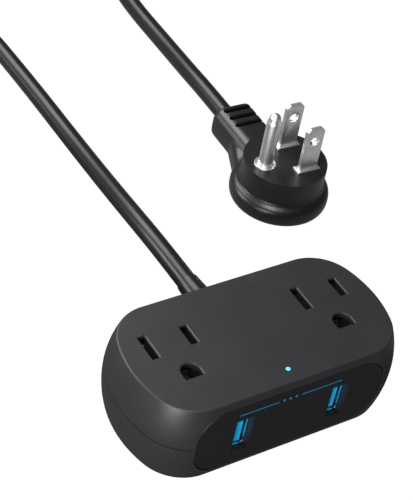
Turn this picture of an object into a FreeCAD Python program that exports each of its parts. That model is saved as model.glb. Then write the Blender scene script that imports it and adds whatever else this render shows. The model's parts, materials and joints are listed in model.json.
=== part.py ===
"""Two-outlet power strip with two USB-A charging ports, a mains cord and a flat right-angle plug.

Units are millimetres. The origin is at the middle of the casing's flat underside: +X runs along the
strip, +Y points to the back, where the cord leaves, and +Z is up, out of the outlet face.
Each function makes one sub-part, and build_all() names the file that each one is written to.
"""
import FreeCAD, Part

import math
import os

V = FreeCAD.Vector
X_AXIS, Y_AXIS, Z_AXIS = V(1, 0, 0), V(0, 1, 0), V(0, 0, 1)

# ---- casing -----------------------------------------------------------------------------------
BODY_H = 26.3              # height of the casing
SPLIT_Z = 13.4             # parting line between the two covers
SPLIT_GAP = 0.3            # groove left at the parting line
WALL = 2.0
HALF_DEPTH = 20.4          # half depth of the flat top face
CORNER_R = 13.3            # plan radius of the four corners of the top face
END_R = 36.8               # plan radius of the two bowed ends of the top face
HALF_LENGTH = 40.0         # half length of the top face
BULGE = 2.4                # how far the side stands out at the parting line
FOOT_GROW = 0.5            # how far the underside is larger than the top face
TOP_EDGE_R = 0.45
BARREL_STEPS = 8           # sections that the side is lofted through
LIP_H, LIP_T = 1.6, 0.9    # locating lip on the lower cover
FIT = 0.15                 # play between pieces that fit into each other
FRONT_CLEAR_Y, FRONT_CLEAR_D = -25.0, 7.0   # cut that takes the covers off behind the panel
BOSS_R, BOSS_PILOT_R = 2.6, 1.1             # screw bosses in the upper cover
PILLAR_R, PILLAR_BORE_R = 3.2, 1.45         # screw pillars in the lower cover
HEAD_BORE_R, HEAD_BORE_TOP = 2.7, 3.4

# ---- outlets ----------------------------------------------------------------------------------
OUTLET_X = (-25.0, 25.0)   # middle of each outlet, left and right
SLOT_Y = 6.0               # line of the two blade slots
SLOT_DX = 6.35             # half of the standard 12.7 mm slot pitch
GROUND_DY = 11.89          # standard distance from the blades' line to the ground pin
GROUND_Y = SLOT_Y - GROUND_DY
SLOT_W = 2.2
HOT_SLOT_L, NEUTRAL_SLOT_L = 6.8, 8.5
GROUND_HOLE_R, GROUND_FLAT = 2.8, 2.3
RIM = 0.32                 # chamfer round each slot

# ---- front panel and USB ports ------------------------------------------------------------------
PANEL_Y = -21.6            # flat front face of the panel
PANEL_T = 2.0
PANEL_HALF_L = 30.7
PANEL_Z = (2.1, 24.0)      # bottom and top of the panel
PANEL_R = 8.5
PANEL_EDGE_R = 0.4
USB_X = (-15.7, 15.7)
USB_Z = 12.6
USB_OPEN_W, USB_OPEN_H = 5.5, 12.6
USB_SHELL_W, USB_SHELL_H, USB_SHELL_L, USB_SHELL_T = 5.72, 13.14, 14.0, 0.3
USB_SHELL_Y = -19.4        # front edge of the steel shells
TONGUE_X = (-0.2, 1.65)    # sides of a port's tongue, from the port's middle
TONGUE_HALF_H, TONGUE_SET_BACK = 5.6, 0.6
USB_PIN_DZ = (-3.5, -1.0, 1.0, 3.5)
USB_PIN_HALF_H, USB_GROOVE_HALF_H, USB_PIN_SINK = 0.5, 0.55, 0.25
LAMP_Y, LAMP_R = -15.7, 0.65

# ---- charger board ------------------------------------------------------------------------------
BOARD_TOP, BOARD_T = 5.8, 1.6
BOARD_HALF_X, BOARD_Y = 19.2, (-19.2, 9.4)
BOARD_POSTS = [(x, y) for x in (-16.5, 16.5) for y in (-16.5, 6.5)]
POST_R, POST_HOLE_R = 1.8, 0.9

# ---- contacts and bus strips --------------------------------------------------------------------
STRIP_T = 0.8              # thickness of the brass bus strips
HOT_BUS_Z, NEUTRAL_BUS_Z = 22.6, 20.6
BUS_Y = (10.6, 13.0)
CONTACT_Z = (9.5, 20.4)
LEAF_T, LEAF_GAP = 0.5, 0.75
LEAF_Y = (2.6, 10.0)
LEAD_X = 4.2               # where the cord's leads meet the strips, left and right
SLEEVE_Z, SLEEVE_R, SLEEVE_BORE_R = (9.0, 20.6), 2.9, 2.4   # ground contact
CARRIER_Z = (8.2, 24.2)
SCREW_XY = (27.5, 16.2)    # case screws, in all four quadrants

# ---- cord ---------------------------------------------------------------------------------------
CORD_D = 6.2
CORD_Z = 13.3              # height at which the cord leaves the back
GLAND_END_Y = 35.0
GLAND_R, GLAND_HOLE_R, CLAMP_BORE_R = 3.9, 4.7, 3.95
CLAMP_X, CLAMP_Y, CLAMP_Z = (-8.0, 8.0), (12.8, 17.2), (14.5, 18.8)
CLAMP_MID_Y = sum(CLAMP_Y) / 2
CLAMP_SEAT_Z = 16.6        # where the clamp's screw heads sit
LEAD_D, GROUND_LEAD_D, BOARD_LEAD_D = 1.7, 1.5, 1.2
COIL_C = (38.0, 250.0)     # middle of the coil on the surface
COIL_R = 34.5              # middle of its turns
COIL_HALF_W, COIL_H = 12.6, 12.4
TIE_T, TIE_W = 1.2, 12.0

# ---- plug: its own frame has the blades along z, the arm along -x --------------------------------
PLUG_AT, PLUG_TURN = (61.5, 70.0), -92.0   # where it lies, and the turn of its x axis about Z
PLUG_H, PLUG_R, PLUG_BASE_R, PLUG_BASE_H = 16.0, 13.8, 16.4, 7.0
PLUG_CY = -4.1             # middle of its round body, in front of the blade line
ARM_END, ARM_W, ARM_TOP, ARM_BOTTOM, ARM_R = -34.5, 14.0, 12.4, 0.3, 4.2
GROOVE_X = (-31.8, -27.9, -24.0)   # the arm's finger grooves
GROOVE_W, GROOVE_DEPTH = 1.7, 1.8
GROOVE_START = -5.2        # their closed end, from the arm's middle
BLADE_W, BLADE_T, BLADE_L = 6.35, 1.5, 16.6
BLADE_HOLE_R, BLADE_HOLE_Z = 1.6, 11.4
PIN_R, PIN_L = 2.375, 20.2
COLLAR_R, COLLAR_H, FRAME_GROW, FRAME_H = 3.6, 0.5, 1.0, 0.4
BRIDGE_R, BRIDGE_Z = 11.2, (5.2, 15.0)     # hard insert that holds the prongs
WIRE_D, WIRE_Z, CRIMP_R, CRIMP_L = 1.8, 3.5, 1.3, 4.4


# ---- helpers --------------------------------------------------------------------------------------
def box(x, y, z):
    """Box between two corners given as (low, high) on each axis."""
    return Part.makeBox(x[1] - x[0], y[1] - y[0], z[1] - z[0], V(x[0], y[0], z[0]))


def rod(x, y, z0, z1, r):
    """Upright cylinder."""
    return Part.makeCylinder(r, z1 - z0, V(x, y, z0))


def fuse(shapes):
    """One solid from pieces that overlap."""
    return shapes[0].multiFuse(shapes[1:]).removeSplitter() if len(shapes) > 1 else shapes[0]


def cut(shape, tools):
    """The shape with every tool taken out of it."""
    return shape.cut(Part.makeCompound(tools))


def rounded_rect(w, h, r, z):
    """Closed wire of a rounded rectangle, centred, at height z."""
    a, b, c = w / 2 - r, h / 2 - r, r * math.sqrt(0.5)
    edges = []
    for sx, sy in ((1, 1), (-1, 1), (-1, -1), (1, -1)):
        start = V(sx * w / 2, sy * b, z) if sx * sy > 0 else V(sx * a, sy * h / 2, z)
        end = V(sx * a, sy * h / 2, z) if sx * sy > 0 else V(sx * w / 2, sy * b, z)
        edges.append(Part.Arc(start, V(sx * (a + c), sy * (b + c), z), end).toShape())
    points = [(edges[i].Vertexes, edges[(i + 1) % 4].Vertexes) for i in range(4)]
    for this, after in points:
        edges.append(Part.LineSegment(this[-1].Point, after[0].Point).toShape())
    return Part.Wire(Part.__sortEdges__(edges))


def prism(wire, direction):
    """Solid swept from a closed flat wire."""
    return Part.Face(wire).extrude(direction)


def tube(points, diameter, label=None):
    """Round rod along straight runs joined by tangent arcs as large as the runs allow."""
    pts = [V(*p) for p in points]
    edges, radii, at = [], [], pts[0]
    for before, corner, after in zip(pts, pts[1:], pts[2:]):
        back, ahead = (before - corner), (after - corner)
        reach = 0.45 * min(back.Length, ahead.Length)
        turn = math.pi - back.getAngle(ahead)
        radii.append(reach / math.tan(turn / 2))
        u, w = V(back).normalize(), V(ahead).normalize()
        start, end = corner + u * reach, corner + w * reach
        middle = V(u + w).normalize()
        sagitta = radii[-1] / math.cos(turn / 2) - radii[-1]
        edges += [Part.LineSegment(at, start).toShape(),
                  Part.Arc(start, corner + middle * sagitta, end).toShape()]
        at = end
    edges.append(Part.LineSegment(at, pts[-1]).toShape())
    path = Part.Wire(edges)
    ring = Part.Wire(Part.makeCircle(diameter / 2, pts[0], pts[1] - pts[0]))
    solid = path.makePipeShell([ring], True, False)
    if label:
        section = math.pi * diameter ** 2 / 4
        print(label, "length %.1f" % path.Length, "radii", [round(r) for r in radii],
              "volume / (section x length) %.4f" % (solid.Volume / (section * path.Length)))
    return solid


def place_plug(shape):
    """Lay a piece of the plug on its back on the surface."""
    turned = shape.copy()
    turned.rotate(V(0, 0, 0), Z_AXIS, PLUG_TURN)
    turned.translate(V(PLUG_AT[0], PLUG_AT[1], 0))
    return turned


# ---- casing -----------------------------------------------------------------------------------
def side_grow(z):
    """How far the side stands outside the top face's outline at height z: two arcs."""
    middle = BODY_H / 2
    drop = BULGE if z > middle else BULGE - FOOT_GROW
    radius = (middle ** 2 + drop ** 2) / (2 * drop)
    return BULGE - radius + math.sqrt(radius ** 2 - (z - middle) ** 2)


def outline(z, grow):
    """Plan outline at height z, grown outwards: straight front and back, round corners, bowed ends."""
    corner_y = HALF_DEPTH - CORNER_R
    end_x = HALF_LENGTH - END_R
    gap = END_R - CORNER_R
    corner_x = end_x + math.sqrt(gap ** 2 - corner_y ** 2)
    slope = math.atan2(corner_y, corner_x - end_x)
    middle = (slope + math.pi / 2) / 2
    r1, r2 = CORNER_R + grow, END_R + grow

    def corner(angle, sx, sy):
        return V(sx * (corner_x + r1 * math.cos(angle)), sy * (corner_y + r1 * math.sin(angle)), z)

    edges = []
    for sx in (1, -1):
        joins = [corner(slope, sx, -sx), corner(slope, sx, sx)]
        edges.append(Part.Arc(joins[0], V(sx * (end_x + r2), 0, z), joins[1]))
        edges.append(Part.Arc(joins[1], corner(middle, sx, sx), corner(math.pi / 2, sx, sx)))
        edges.append(Part.LineSegment(corner(math.pi / 2, sx, sx), corner(math.pi / 2, -sx, sx)))
        edges.append(Part.Arc(corner(math.pi / 2, -sx, sx), corner(middle, -sx, sx),
                              corner(slope, -sx, sx)))
    return Part.Wire([e.toShape() for e in edges])


def barrel(z0, z1, grow):
    """Casing's outer form between two heights, grown by a constant amount, cut from the full one."""
    heights = [BODY_H * i / BARREL_STEPS for i in range(BARREL_STEPS + 1)]
    full = Part.makeLoft([outline(z, side_grow(z) + grow) for z in heights], True, False)
    if z0 <= 0 and z1 >= BODY_H:
        return full
    return full.common(box((-60, 60), (-40, 40), (max(z0, 0), min(z1, BODY_H))))


def slot_cutter(x, y, length, depth):
    """Blade slot with a chamfered rim."""
    hole = box((x - SLOT_W / 2, x + SLOT_W / 2), (y - length / 2, y + length / 2),
               (BODY_H - depth, BODY_H + 1))
    rims = []
    for grow, z in ((0, BODY_H - RIM), (RIM, BODY_H), (RIM, BODY_H + 1)):
        w, h = SLOT_W / 2 + grow, length / 2 + grow
        rims.append(Part.makePolygon([V(x - w, y - h, z), V(x + w, y - h, z), V(x + w, y + h, z),
                                      V(x - w, y + h, z), V(x - w, y - h, z)]))
    return fuse([hole, Part.makeLoft(rims, True, True)])


def u_wire(x, y, r, flat, z):
    """U outline, round towards the blade slots and square towards the front."""
    right, left = V(x + r, y, z), V(x - r, y, z)
    front_left, front_right = V(x - r, y - flat, z), V(x + r, y - flat, z)
    return Part.Wire([Part.Arc(right, V(x, y + r, z), left).toShape(),
                      Part.LineSegment(left, front_left).toShape(),
                      Part.LineSegment(front_left, front_right).toShape(),
                      Part.LineSegment(front_right, right).toShape()])


def ground_cutter(x, depth):
    """U-shaped ground hole with a chamfered rim."""
    hole = prism(u_wire(x, GROUND_Y, GROUND_HOLE_R, GROUND_FLAT, BODY_H - depth), V(0, 0, depth + 1))
    rims = [u_wire(x, GROUND_Y, GROUND_HOLE_R + g, GROUND_FLAT + g, z)
            for g, z in ((0, BODY_H - RIM), (RIM, BODY_H), (RIM, BODY_H + 1))]
    return fuse([hole, Part.makeLoft(rims, True, True)])


def outlet_cutters(depth):
    """Every slot and ground hole of the two outlets."""
    tools = []
    for x in OUTLET_X:
        tools.append(slot_cutter(x - SLOT_DX, SLOT_Y, NEUTRAL_SLOT_L, depth))
        tools.append(slot_cutter(x + SLOT_DX, SLOT_Y, HOT_SLOT_L, depth))
        tools.append(ground_cutter(x, depth))
    return tools


def panel_wire_solid(grow, y, depth):
    """Rounded slab of the front panel's outline, from y backwards."""
    wire = rounded_rect(2 * (PANEL_HALF_L + grow), PANEL_Z[1] - PANEL_Z[0] + 2 * grow,
                        PANEL_R + grow, 0)
    slab = prism(wire, V(0, 0, depth))
    slab.rotate(V(0, 0, 0), X_AXIS, 90)
    slab.translate(V(0, y + depth, (PANEL_Z[0] + PANEL_Z[1]) / 2))
    return slab


def gland_hole():
    """Round opening in the back for the cord's strain relief."""
    return Part.makeCylinder(GLAND_HOLE_R, 10, V(0, 17, CORD_Z), Y_AXIS)


def boss_places():
    """The four case screw places."""
    return [(sx * SCREW_XY[0], sy * SCREW_XY[1]) for sx in (-1, 1) for sy in (-1, 1)]


def top_cover():
    """Upper shell, with the outlet face and the bosses that the case screws bite into."""
    outer = barrel(SPLIT_Z + SPLIT_GAP / 2, BODY_H, 0)
    rim = [e for e in outer.Edges if min(v.Z for v in e.Vertexes) > BODY_H - 0.01]
    outer = outer.makeFillet(TOP_EDGE_R, rim)
    inner = barrel(SPLIT_Z - 1, BODY_H - WALL, -WALL)
    rebate = barrel(SPLIT_Z - 1, SPLIT_Z + LIP_H + FIT, LIP_T - WALL + FIT)
    shell = cut(outer, [inner, rebate])
    bosses = [rod(x, y, SPLIT_Z + SPLIT_GAP / 2, BODY_H - WALL + 0.1, BOSS_R)
              for x, y in boss_places()]
    shell = fuse([shell] + bosses)
    pilots = [rod(x, y, SPLIT_Z, BODY_H - WALL - 0.8, BOSS_PILOT_R) for x, y in boss_places()]
    lamp = rod(0, LAMP_Y, 20, BODY_H + 1, LAMP_R + 0.05)
    front = panel_wire_solid(FIT, FRONT_CLEAR_Y, FRONT_CLEAR_D)
    return cut(shell, outlet_cutters(WALL + 0.5) + pilots + [lamp, front, gland_hole()])


def bottom_cover():
    """Lower shell, with a locating lip, board posts, cord saddle and recessed screw holes."""
    outer = barrel(0, SPLIT_Z - SPLIT_GAP / 2, 0)
    inner = barrel(WALL, SPLIT_Z + 1, -WALL)
    lip = barrel(SPLIT_Z - 2.5, SPLIT_Z + LIP_H, LIP_T - WALL).cut(barrel(0, BODY_H, -WALL))
    lip = cut(lip, [box((-PANEL_HALF_L - 2, PANEL_HALF_L + 2), (-25, -14), (13, 16))])
    lip = cut(lip, [rod(x, y, SPLIT_Z - SPLIT_GAP / 2, 16, BOSS_R + 2 * FIT)
                    for x, y in boss_places()])
    bosses = [rod(x, y, 1, SPLIT_Z - SPLIT_GAP / 2, PILLAR_R) for x, y in boss_places()]
    posts = [rod(x, y, 1, BOARD_TOP - BOARD_T, POST_R) for x, y in BOARD_POSTS]
    saddle = box((-4.5, 4.5), CLAMP_Y, (1, CORD_Z - 1))
    clamp_posts = [rod(x, CLAMP_MID_Y, 1, CLAMP_Z[0], 2.3) for x in CLAMP_X]
    holes = []
    for x, y in boss_places():
        holes += [rod(x, y, -1, 16, PILLAR_BORE_R), rod(x, y, -1, HEAD_BORE_TOP, HEAD_BORE_R)]
    sleeve = Part.makeCylinder(CLAMP_BORE_R, 8, V(0, 11, CORD_Z), Y_AXIS)
    pilots = [rod(x, CLAMP_MID_Y, 5, 15, 0.9) for x in CLAMP_X]
    front = panel_wire_solid(FIT, FRONT_CLEAR_Y, FRONT_CLEAR_D)
    shell = fuse([outer.cut(inner), lip] + bosses + posts + [saddle] + clamp_posts)
    return cut(shell, holes + pilots + [sleeve, front, gland_hole()])


def usb_front_panel():
    """Flat front panel with the two port openings, held by tabs behind the covers."""
    slab = panel_wire_solid(0, PANEL_Y, PANEL_T)
    slab = slab.makeFillet(PANEL_EDGE_R, [e for e in slab.Edges if e.BoundBox.YMax < PANEL_Y + 0.01])
    slab = slab.common(barrel(0.4, BODY_H - 0.4, -0.03))
    tabs = [box((s * 31.9 - 1.6, s * 31.9 + 1.6), (-19.75, -18.2), (8, 18)) for s in (-1, 1)]
    tabs = [t.common(barrel(1, BODY_H - 1, -WALL - 0.1)) for t in tabs]
    bridges = [box((s * 29.8 - 0.9, s * 29.8 + 0.9), (-19.9, -18.2), (8, 18)) for s in (-1, 1)]
    bridges = [b.common(barrel(1, BODY_H - 1, -WALL - 0.1)) for b in bridges]
    ports = [box((x - USB_OPEN_W / 2, x + USB_OPEN_W / 2), (-25, -15),
                 (USB_Z - USB_OPEN_H / 2, USB_Z + USB_OPEN_H / 2)) for x in USB_X]
    return cut(fuse([slab] + bridges + tabs), ports)


def indicator_lens():
    """Light guide from the lamp on the board to the top face."""
    return fuse([rod(0, LAMP_Y, 7.0, BODY_H, LAMP_R), rod(0, LAMP_Y, 7.0, BODY_H - WALL - 0.1, 1.3)])


def screw(x, y, head_z, head_r, head_h, shank_r, length):
    """Pan head screw that points up, with a cross recess in its head."""
    body = fuse([rod(x, y, head_z, head_z + head_h, head_r),
                 rod(x, y, head_z + head_h - 0.1, head_z + head_h + length, shank_r)])
    arm, width = head_r * 0.6, head_r * 0.14
    recess = [box((x - arm, x + arm), (y - width, y + width), (head_z - 1, head_z + head_h * 0.5)),
              box((x - width, x + width), (y - arm, y + arm), (head_z - 1, head_z + head_h * 0.5))]
    return cut(body, recess)


def case_screws():
    """Four screws that pull the covers together, their heads sunk in the underside."""
    return Part.makeCompound([screw(x, y, 1.6, 2.4, 1.8, 1.1, 17.5) for x, y in boss_places()])


# ---- outlets ------------------------------------------------------------------------------------
def blade_contact(x):
    """Spring contact: two leaves joined by a web at the back, which carries the bus strip."""
    z0, z1 = CONTACT_Z
    pieces = [box((x - LEAF_GAP - LEAF_T, x + LEAF_GAP + LEAF_T), (9.9, 9.9 + LEAF_T), (z0, z1))]
    for side in (-1, 1):
        inner = side * LEAF_GAP
        y, bend = LEAF_Y[0], z1 - 1.6
        profile = [V(x + inner, y, z0), V(x + inner + side * LEAF_T, y, z0),
                   V(x + inner + side * LEAF_T, y, bend), V(x + inner + side * (LEAF_T + 0.5), y, z1),
                   V(x + inner + side * 0.5, y, z1), V(x + inner, y, bend)]
        pieces.append(prism(Part.makePolygon(profile + profile[:1]), V(0, LEAF_Y[1] - y, 0)))
    return fuse(pieces)


def bus(z, slot_xs, lead_x):
    """Brass strip that joins the two like contacts, with a solder tab for the lead."""
    tab = sorted((lead_x * 0.7, lead_x * 2))
    pieces = [box((min(slot_xs) - 1.2, max(slot_xs) + 1.2), BUS_Y, (z, z + STRIP_T)),
              box(tab, (7.9, BUS_Y[1]), (z, z + STRIP_T))]
    for x in slot_xs:
        foot = box((x - 1.2, x + 1.2), (10.4, 10.9), (CONTACT_Z[0] + 3, z + STRIP_T))
        pieces.append(foot)
    return fuse(pieces)


def hot_bus():
    """Strip between the two hot contacts."""
    return bus(HOT_BUS_Z, [x + SLOT_DX for x in OUTLET_X], LEAD_X)


def neutral_bus():
    """Strip between the two neutral contacts, with room for the hot strip's feet."""
    strip = bus(NEUTRAL_BUS_Z, [x - SLOT_DX for x in OUTLET_X], -LEAD_X)
    x = OUTLET_X[0] + SLOT_DX
    return cut(strip, [box((x - 1.9, x + 1.9), (10, 11.6), (NEUTRAL_BUS_Z - 1, NEUTRAL_BUS_Z + 2))])


def bus_insulator():
    """Insulating card between the two strips."""
    card = box((-34, 33), (10.2, 13.2), (21.7, 22.2))
    feet = [box((x + SLOT_DX - 1.6, x + SLOT_DX + 1.6), (10, 11.3), (21, 23)) for x in OUTLET_X]
    return cut(card, feet)


def ground_contact(x):
    """Slotted spring sleeve round the ground pin, with a tab up to the ground strip."""
    z0, z1 = SLEEVE_Z
    bore = rod(x, GROUND_Y, z0 - 1, z1 + 1, SLEEVE_BORE_R)
    ring = rod(x, GROUND_Y, z0, z1, SLEEVE_R).cut(bore)
    mouth = Part.makeCone(SLEEVE_BORE_R, SLEEVE_R - 0.05, 1.6, V(x, GROUND_Y, z1 - 1.5))
    slits = [box((x - 0.35, x + 0.35), (GROUND_Y - 4, GROUND_Y), (z0 + 2, z1 + 1)),
             box((x - 4, x + 4), (GROUND_Y - 0.35, GROUND_Y + 0.35), (z0 + 2, z1 + 1))]
    tab = box((x - 1.8, x + 1.8), (GROUND_Y + 2.7, GROUND_Y + 3.2), (z0 + 4, HOT_BUS_Z))
    return fuse([cut(ring, slits + [mouth]), tab])


def ground_bus():
    """Strip between the two ground contacts."""
    y = GROUND_Y + 2.7
    return box((OUTLET_X[0] - 2, OUTLET_X[1] + 2), (y, y + 3.2), (HOT_BUS_Z, HOT_BUS_Z + STRIP_T))


def outlet_carrier(x):
    """Insulating block under one outlet, with a pocket for each contact and channels for the strips."""
    block = box((x - 9.9, x + 9.9), (-11.6, 12.9), CARRIER_Z)
    inner = math.copysign(1, -x)
    notch_x = sorted((x + inner * 5.6, x + inner * 12))
    tools = [box(notch_x, (-12, -5.0), (CARRIER_Z[0] - 1, 19.8))]
    for side in (-1, 1):
        cx = x + side * SLOT_DX
        tools.append(box((cx - 2.0, cx + 2.0), (2.2, 11.1), (CARRIER_Z[0] + 0.8, 21.2)))
        tools.append(box((cx - 1.1, cx + 1.1), (1.6, 10.4), (21, 25)))
        tools.append(box((cx - 1.5, cx + 1.5), (10.0, 11.1), (12, 25)))
    tools.append(rod(x, GROUND_Y, CARRIER_Z[0] + 0.8, 21.2, 3.2))
    tools.append(rod(x, GROUND_Y, 20, 25, 2.9))
    tools.append(box((x - 2.0, x + 2.0), (GROUND_Y + 2.4, GROUND_Y + 3.4), (CARRIER_Z[0] + 0.8, 25)))
    tools.append(box((x - 15, x + 15), (GROUND_Y + 2.55, GROUND_Y + 6.1), (HOT_BUS_Z - FIT, 25)))
    tools.append(box((x - 15, x + 15), (10.0, 14), (NEUTRAL_BUS_Z - FIT, 25)))
    return cut(block, tools)


# ---- charger ------------------------------------------------------------------------------------
def charger_board():
    """Circuit board of the USB charger, with holes over the posts."""
    plate = box((-BOARD_HALF_X, BOARD_HALF_X), BOARD_Y, (BOARD_TOP - BOARD_T, BOARD_TOP))
    holes = [rod(x, y, 0, 9, POST_HOLE_R) for x, y in BOARD_POSTS]
    return cut(plate, holes)


def transformer_core():
    """Ferrite core, a closed frame round the winding, with a middle leg."""
    frame = box((-8, 8), (-0.8, 4.8), (BOARD_TOP + 0.6, BOARD_TOP + 13))
    windows = [box((s * 4.3 - 1.9, s * 4.3 + 1.9), (-2, 6), (BOARD_TOP + 3, BOARD_TOP + 10.6))
               for s in (-1, 1)]
    return cut(frame, windows)


def transformer_winding():
    """Taped winding on its bobbin, round the middle leg."""
    z0, z1 = BOARD_TOP + 3.2, BOARD_TOP + 10.4
    body = box((-5.9, 5.9), (-3.6, 7.6), (z0, z1))
    leg = box((-2.45, 2.45), (-0.85, 4.85), (z0 - 1, z1 + 1))
    body = body.makeFillet(2.0, [e for e in body.Edges if abs(e.tangentAt(0).z) > 0.9])
    return body.cut(leg)


def input_capacitor(x):
    """Electrolytic capacitor lying along Y on the board."""
    can = Part.makeCylinder(3.1, 11, V(x, -17.6, BOARD_TOP + 3.1), Y_AXIS)
    groove = Part.makeTorus(3.4, 0.45, V(x, -8.6, BOARD_TOP + 3.1), Y_AXIS)
    return can.cut(groove)


def output_capacitor():
    """Electrolytic capacitor standing on the board."""
    can = rod(11.4, -1.5, BOARD_TOP, BOARD_TOP + 11, 2.5)
    return can.cut(Part.makeTorus(2.75, 0.4, V(11.4, -1.5, BOARD_TOP + 1.6), Z_AXIS))


def power_inductor():
    """Drum inductor standing on the board."""
    drum = [rod(11.4, 5.2, BOARD_TOP, BOARD_TOP + 1, 2.6), rod(11.4, 5.2, BOARD_TOP, BOARD_TOP + 6, 2.1),
            rod(11.4, 5.2, BOARD_TOP + 5, BOARD_TOP + 6, 2.6)]
    return fuse(drum)


def bridge_rectifier():
    """Mains rectifier on the board."""
    return box((-13.6, -9.4), (4.4, 8.4), (BOARD_TOP, BOARD_TOP + 2.4))


def controller_chip():
    """Charger controller chip on the board."""
    return box((-12.9, -9.1), (-3.6, 1.3), (BOARD_TOP, BOARD_TOP + 1.5))


def board_fuse():
    """Round radial fuse on the board."""
    return rod(-14.2, 2.4, BOARD_TOP, BOARD_TOP + 1.9, 1.0)


def indicator_lamp():
    """Small lamp on the board below the light guide."""
    return box((-0.8, 0.8), (LAMP_Y - 0.5, LAMP_Y + 0.5), (BOARD_TOP, 6.6))


def usb_shell(x):
    """Steel shell of one upright USB-A port, with two spring dents in each broad side."""
    y0, y1 = USB_SHELL_Y, USB_SHELL_Y + USB_SHELL_L
    hw, hh = USB_SHELL_W / 2, USB_SHELL_H / 2
    outer = box((x - hw, x + hw), (y0, y1), (USB_Z - hh, USB_Z + hh))
    t = USB_SHELL_T
    inner = box((x - hw + t, x + hw - t), (y0 - 1, y1 - t), (USB_Z - hh + t, USB_Z + hh - t))
    windows = []
    for z in (USB_Z - 3.1, USB_Z + 3.1):
        windows.append(box((x - hw - 1, x + hw + 1), (y0 + 3, y0 + 7), (z - 1.1, z + 1.1)))
    return cut(outer.cut(inner), windows)


def usb_tongue(x):
    """Insulator of one port: a tongue near the right side, on a block at the back of the shell."""
    y0, y1 = USB_SHELL_Y, USB_SHELL_Y + USB_SHELL_L
    tongue = box((x + TONGUE_X[0], x + TONGUE_X[1]), (y0 + TONGUE_SET_BACK, y1 - 3),
                 (USB_Z - TONGUE_HALF_H, USB_Z + TONGUE_HALF_H))
    block = box((x - 2.5, x + 2.5), (y1 - 4.2, y1 - 0.35), (USB_Z - 6.2, USB_Z + 6.2))
    grooves = [box((x - 1, x + TONGUE_X[0] + USB_PIN_SINK), (y0, y1 - 4.2),
                   (z - USB_GROOVE_HALF_H, z + USB_GROOVE_HALF_H)) for z in usb_pin_z()]
    return cut(fuse([tongue, block]), grooves)


def usb_pin_z():
    """Heights of the four contacts of a port."""
    return [USB_Z + offset for offset in USB_PIN_DZ]


def usb_pins(x):
    """Four contacts in the tongue's grooves."""
    y0 = USB_SHELL_Y
    side = (x + TONGUE_X[0] - 0.04, x + TONGUE_X[0] + USB_PIN_SINK)
    return Part.makeCompound([box(side, (y0 + 1.2, y0 + 9.8), (z - USB_PIN_HALF_H, z + USB_PIN_HALF_H))
                              for z in usb_pin_z()])


# ---- cord inlet and leads -----------------------------------------------------------------------
def cord_strain_relief():
    """Moulded sleeve on the cord: gripped part, flange behind the wall, and tapered tail outside."""
    profile = [(0, 11.6), (GLAND_R, 11.6), (GLAND_R, 18.2), (6.0, 18.2), (6.0, 19.6), (4.6, 19.6),
               (4.6, 23.6), (3.55, GLAND_END_Y), (0, GLAND_END_Y), (0, 11.6)]
    wire = Part.makePolygon([V(r, y, CORD_Z) for r, y in profile])
    return Part.Face(wire).revolve(V(0, 0, CORD_Z), Y_AXIS, 360)


def cord_clamp():
    """Bar that presses the sleeve onto its saddle."""
    bar = box((CLAMP_X[0] - 2.6, CLAMP_X[1] + 2.6), CLAMP_Y, CLAMP_Z)
    tools = [Part.makeCylinder(CLAMP_BORE_R, 8, V(0, 11, CORD_Z), Y_AXIS)]
    tools += [rod(x, CLAMP_MID_Y, 10, 20, 1.2) for x in CLAMP_X]
    tools += [box((x - 2.7, x + 2.7), (12, 18), (CLAMP_SEAT_Z, 20)) for x in CLAMP_X]
    return cut(bar, tools)


def cord_clamp_screws():
    """Two small screws of the cord clamp, heads up."""
    screws = []
    head_h = 1.3
    for x in CLAMP_X:
        s = screw(x, CLAMP_MID_Y, 0, 1.9, head_h, 0.9, 7.5)
        s.rotate(V(x, CLAMP_MID_Y, 0), X_AXIS, 180)
        s.translate(V(0, 0, CLAMP_SEAT_Z + head_h))
        screws.append(s)
    return Part.makeCompound(screws)


def hot_lead():
    """From the cord to the hot strip."""
    return tube([(2.0, 11.6, 14.2), (2.0, 9.4, 14.2), (LEAD_X, 9.0, 17.6), (LEAD_X, 9.0, HOT_BUS_Z)],
                LEAD_D)


def neutral_lead():
    """From the cord to the neutral strip."""
    return tube([(-2.0, 11.6, 14.2), (-2.0, 9.4, 14.2), (-LEAD_X, 9.0, 17.2),
                 (-LEAD_X, 9.0, NEUTRAL_BUS_Z)], LEAD_D)


def ground_lead():
    """From the cord over the transformer to the ground strip."""
    return tube([(0, 11.6, 11.6), (0, 9.2, 11.6), (0, 8.9, 16.5), (0, 6.2, 19.9), (0, 0.8, 20.6),
                 (0, -1.5, 21.2), (0, -1.5, HOT_BUS_Z)], GROUND_LEAD_D)


def board_leads():
    """Two thin leads from the strips down to the board."""
    hot = tube([(7.0, 9.0, HOT_BUS_Z), (7.0, 9.0, 18.5), (7.8, 8.6, 12), (7.8, 8.6, BOARD_TOP)],
               BOARD_LEAD_D)
    neutral = tube([(-7.0, 9.0, NEUTRAL_BUS_Z), (-7.0, 9.0, 18), (-7.8, 8.7, 12),
                    (-7.8, 8.7, BOARD_TOP)], BOARD_LEAD_D)
    return Part.makeCompound([hot, neutral])


# ---- cord ---------------------------------------------------------------------------------------
STRIP_ROUTE = [
    (0.0, 35.0, 13.3), (0.0, 49.0, 13.3), (0.3, 62.0, 12.4), (1.6, 78.0, 9.7), (3.6, 98.0, 6.1),
    (5.0, 120.0, 3.7), (5.3, 148.0, 3.1), (4.2, 184.0, 3.1), (-1.2, 214.0, 3.1), (-6.0, 240.0, 3.1)]
PLUG_ROUTE = [
    (79.0, 243.0, 9.3), (78.9, 233.0, 9.3), (76.9, 220.0, 7.6), (70.0, 204.0, 4.3), (63.6, 190.0, 3.1),
    (62.2, 174.0, 3.1), (61.8, 158.0, 3.4), (60.8, 143.0, 4.4), (59.7, 131.0, 5.6),
    (59.13, 119.61, 6.35), (58.61, 104.62, 6.35)]


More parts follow.
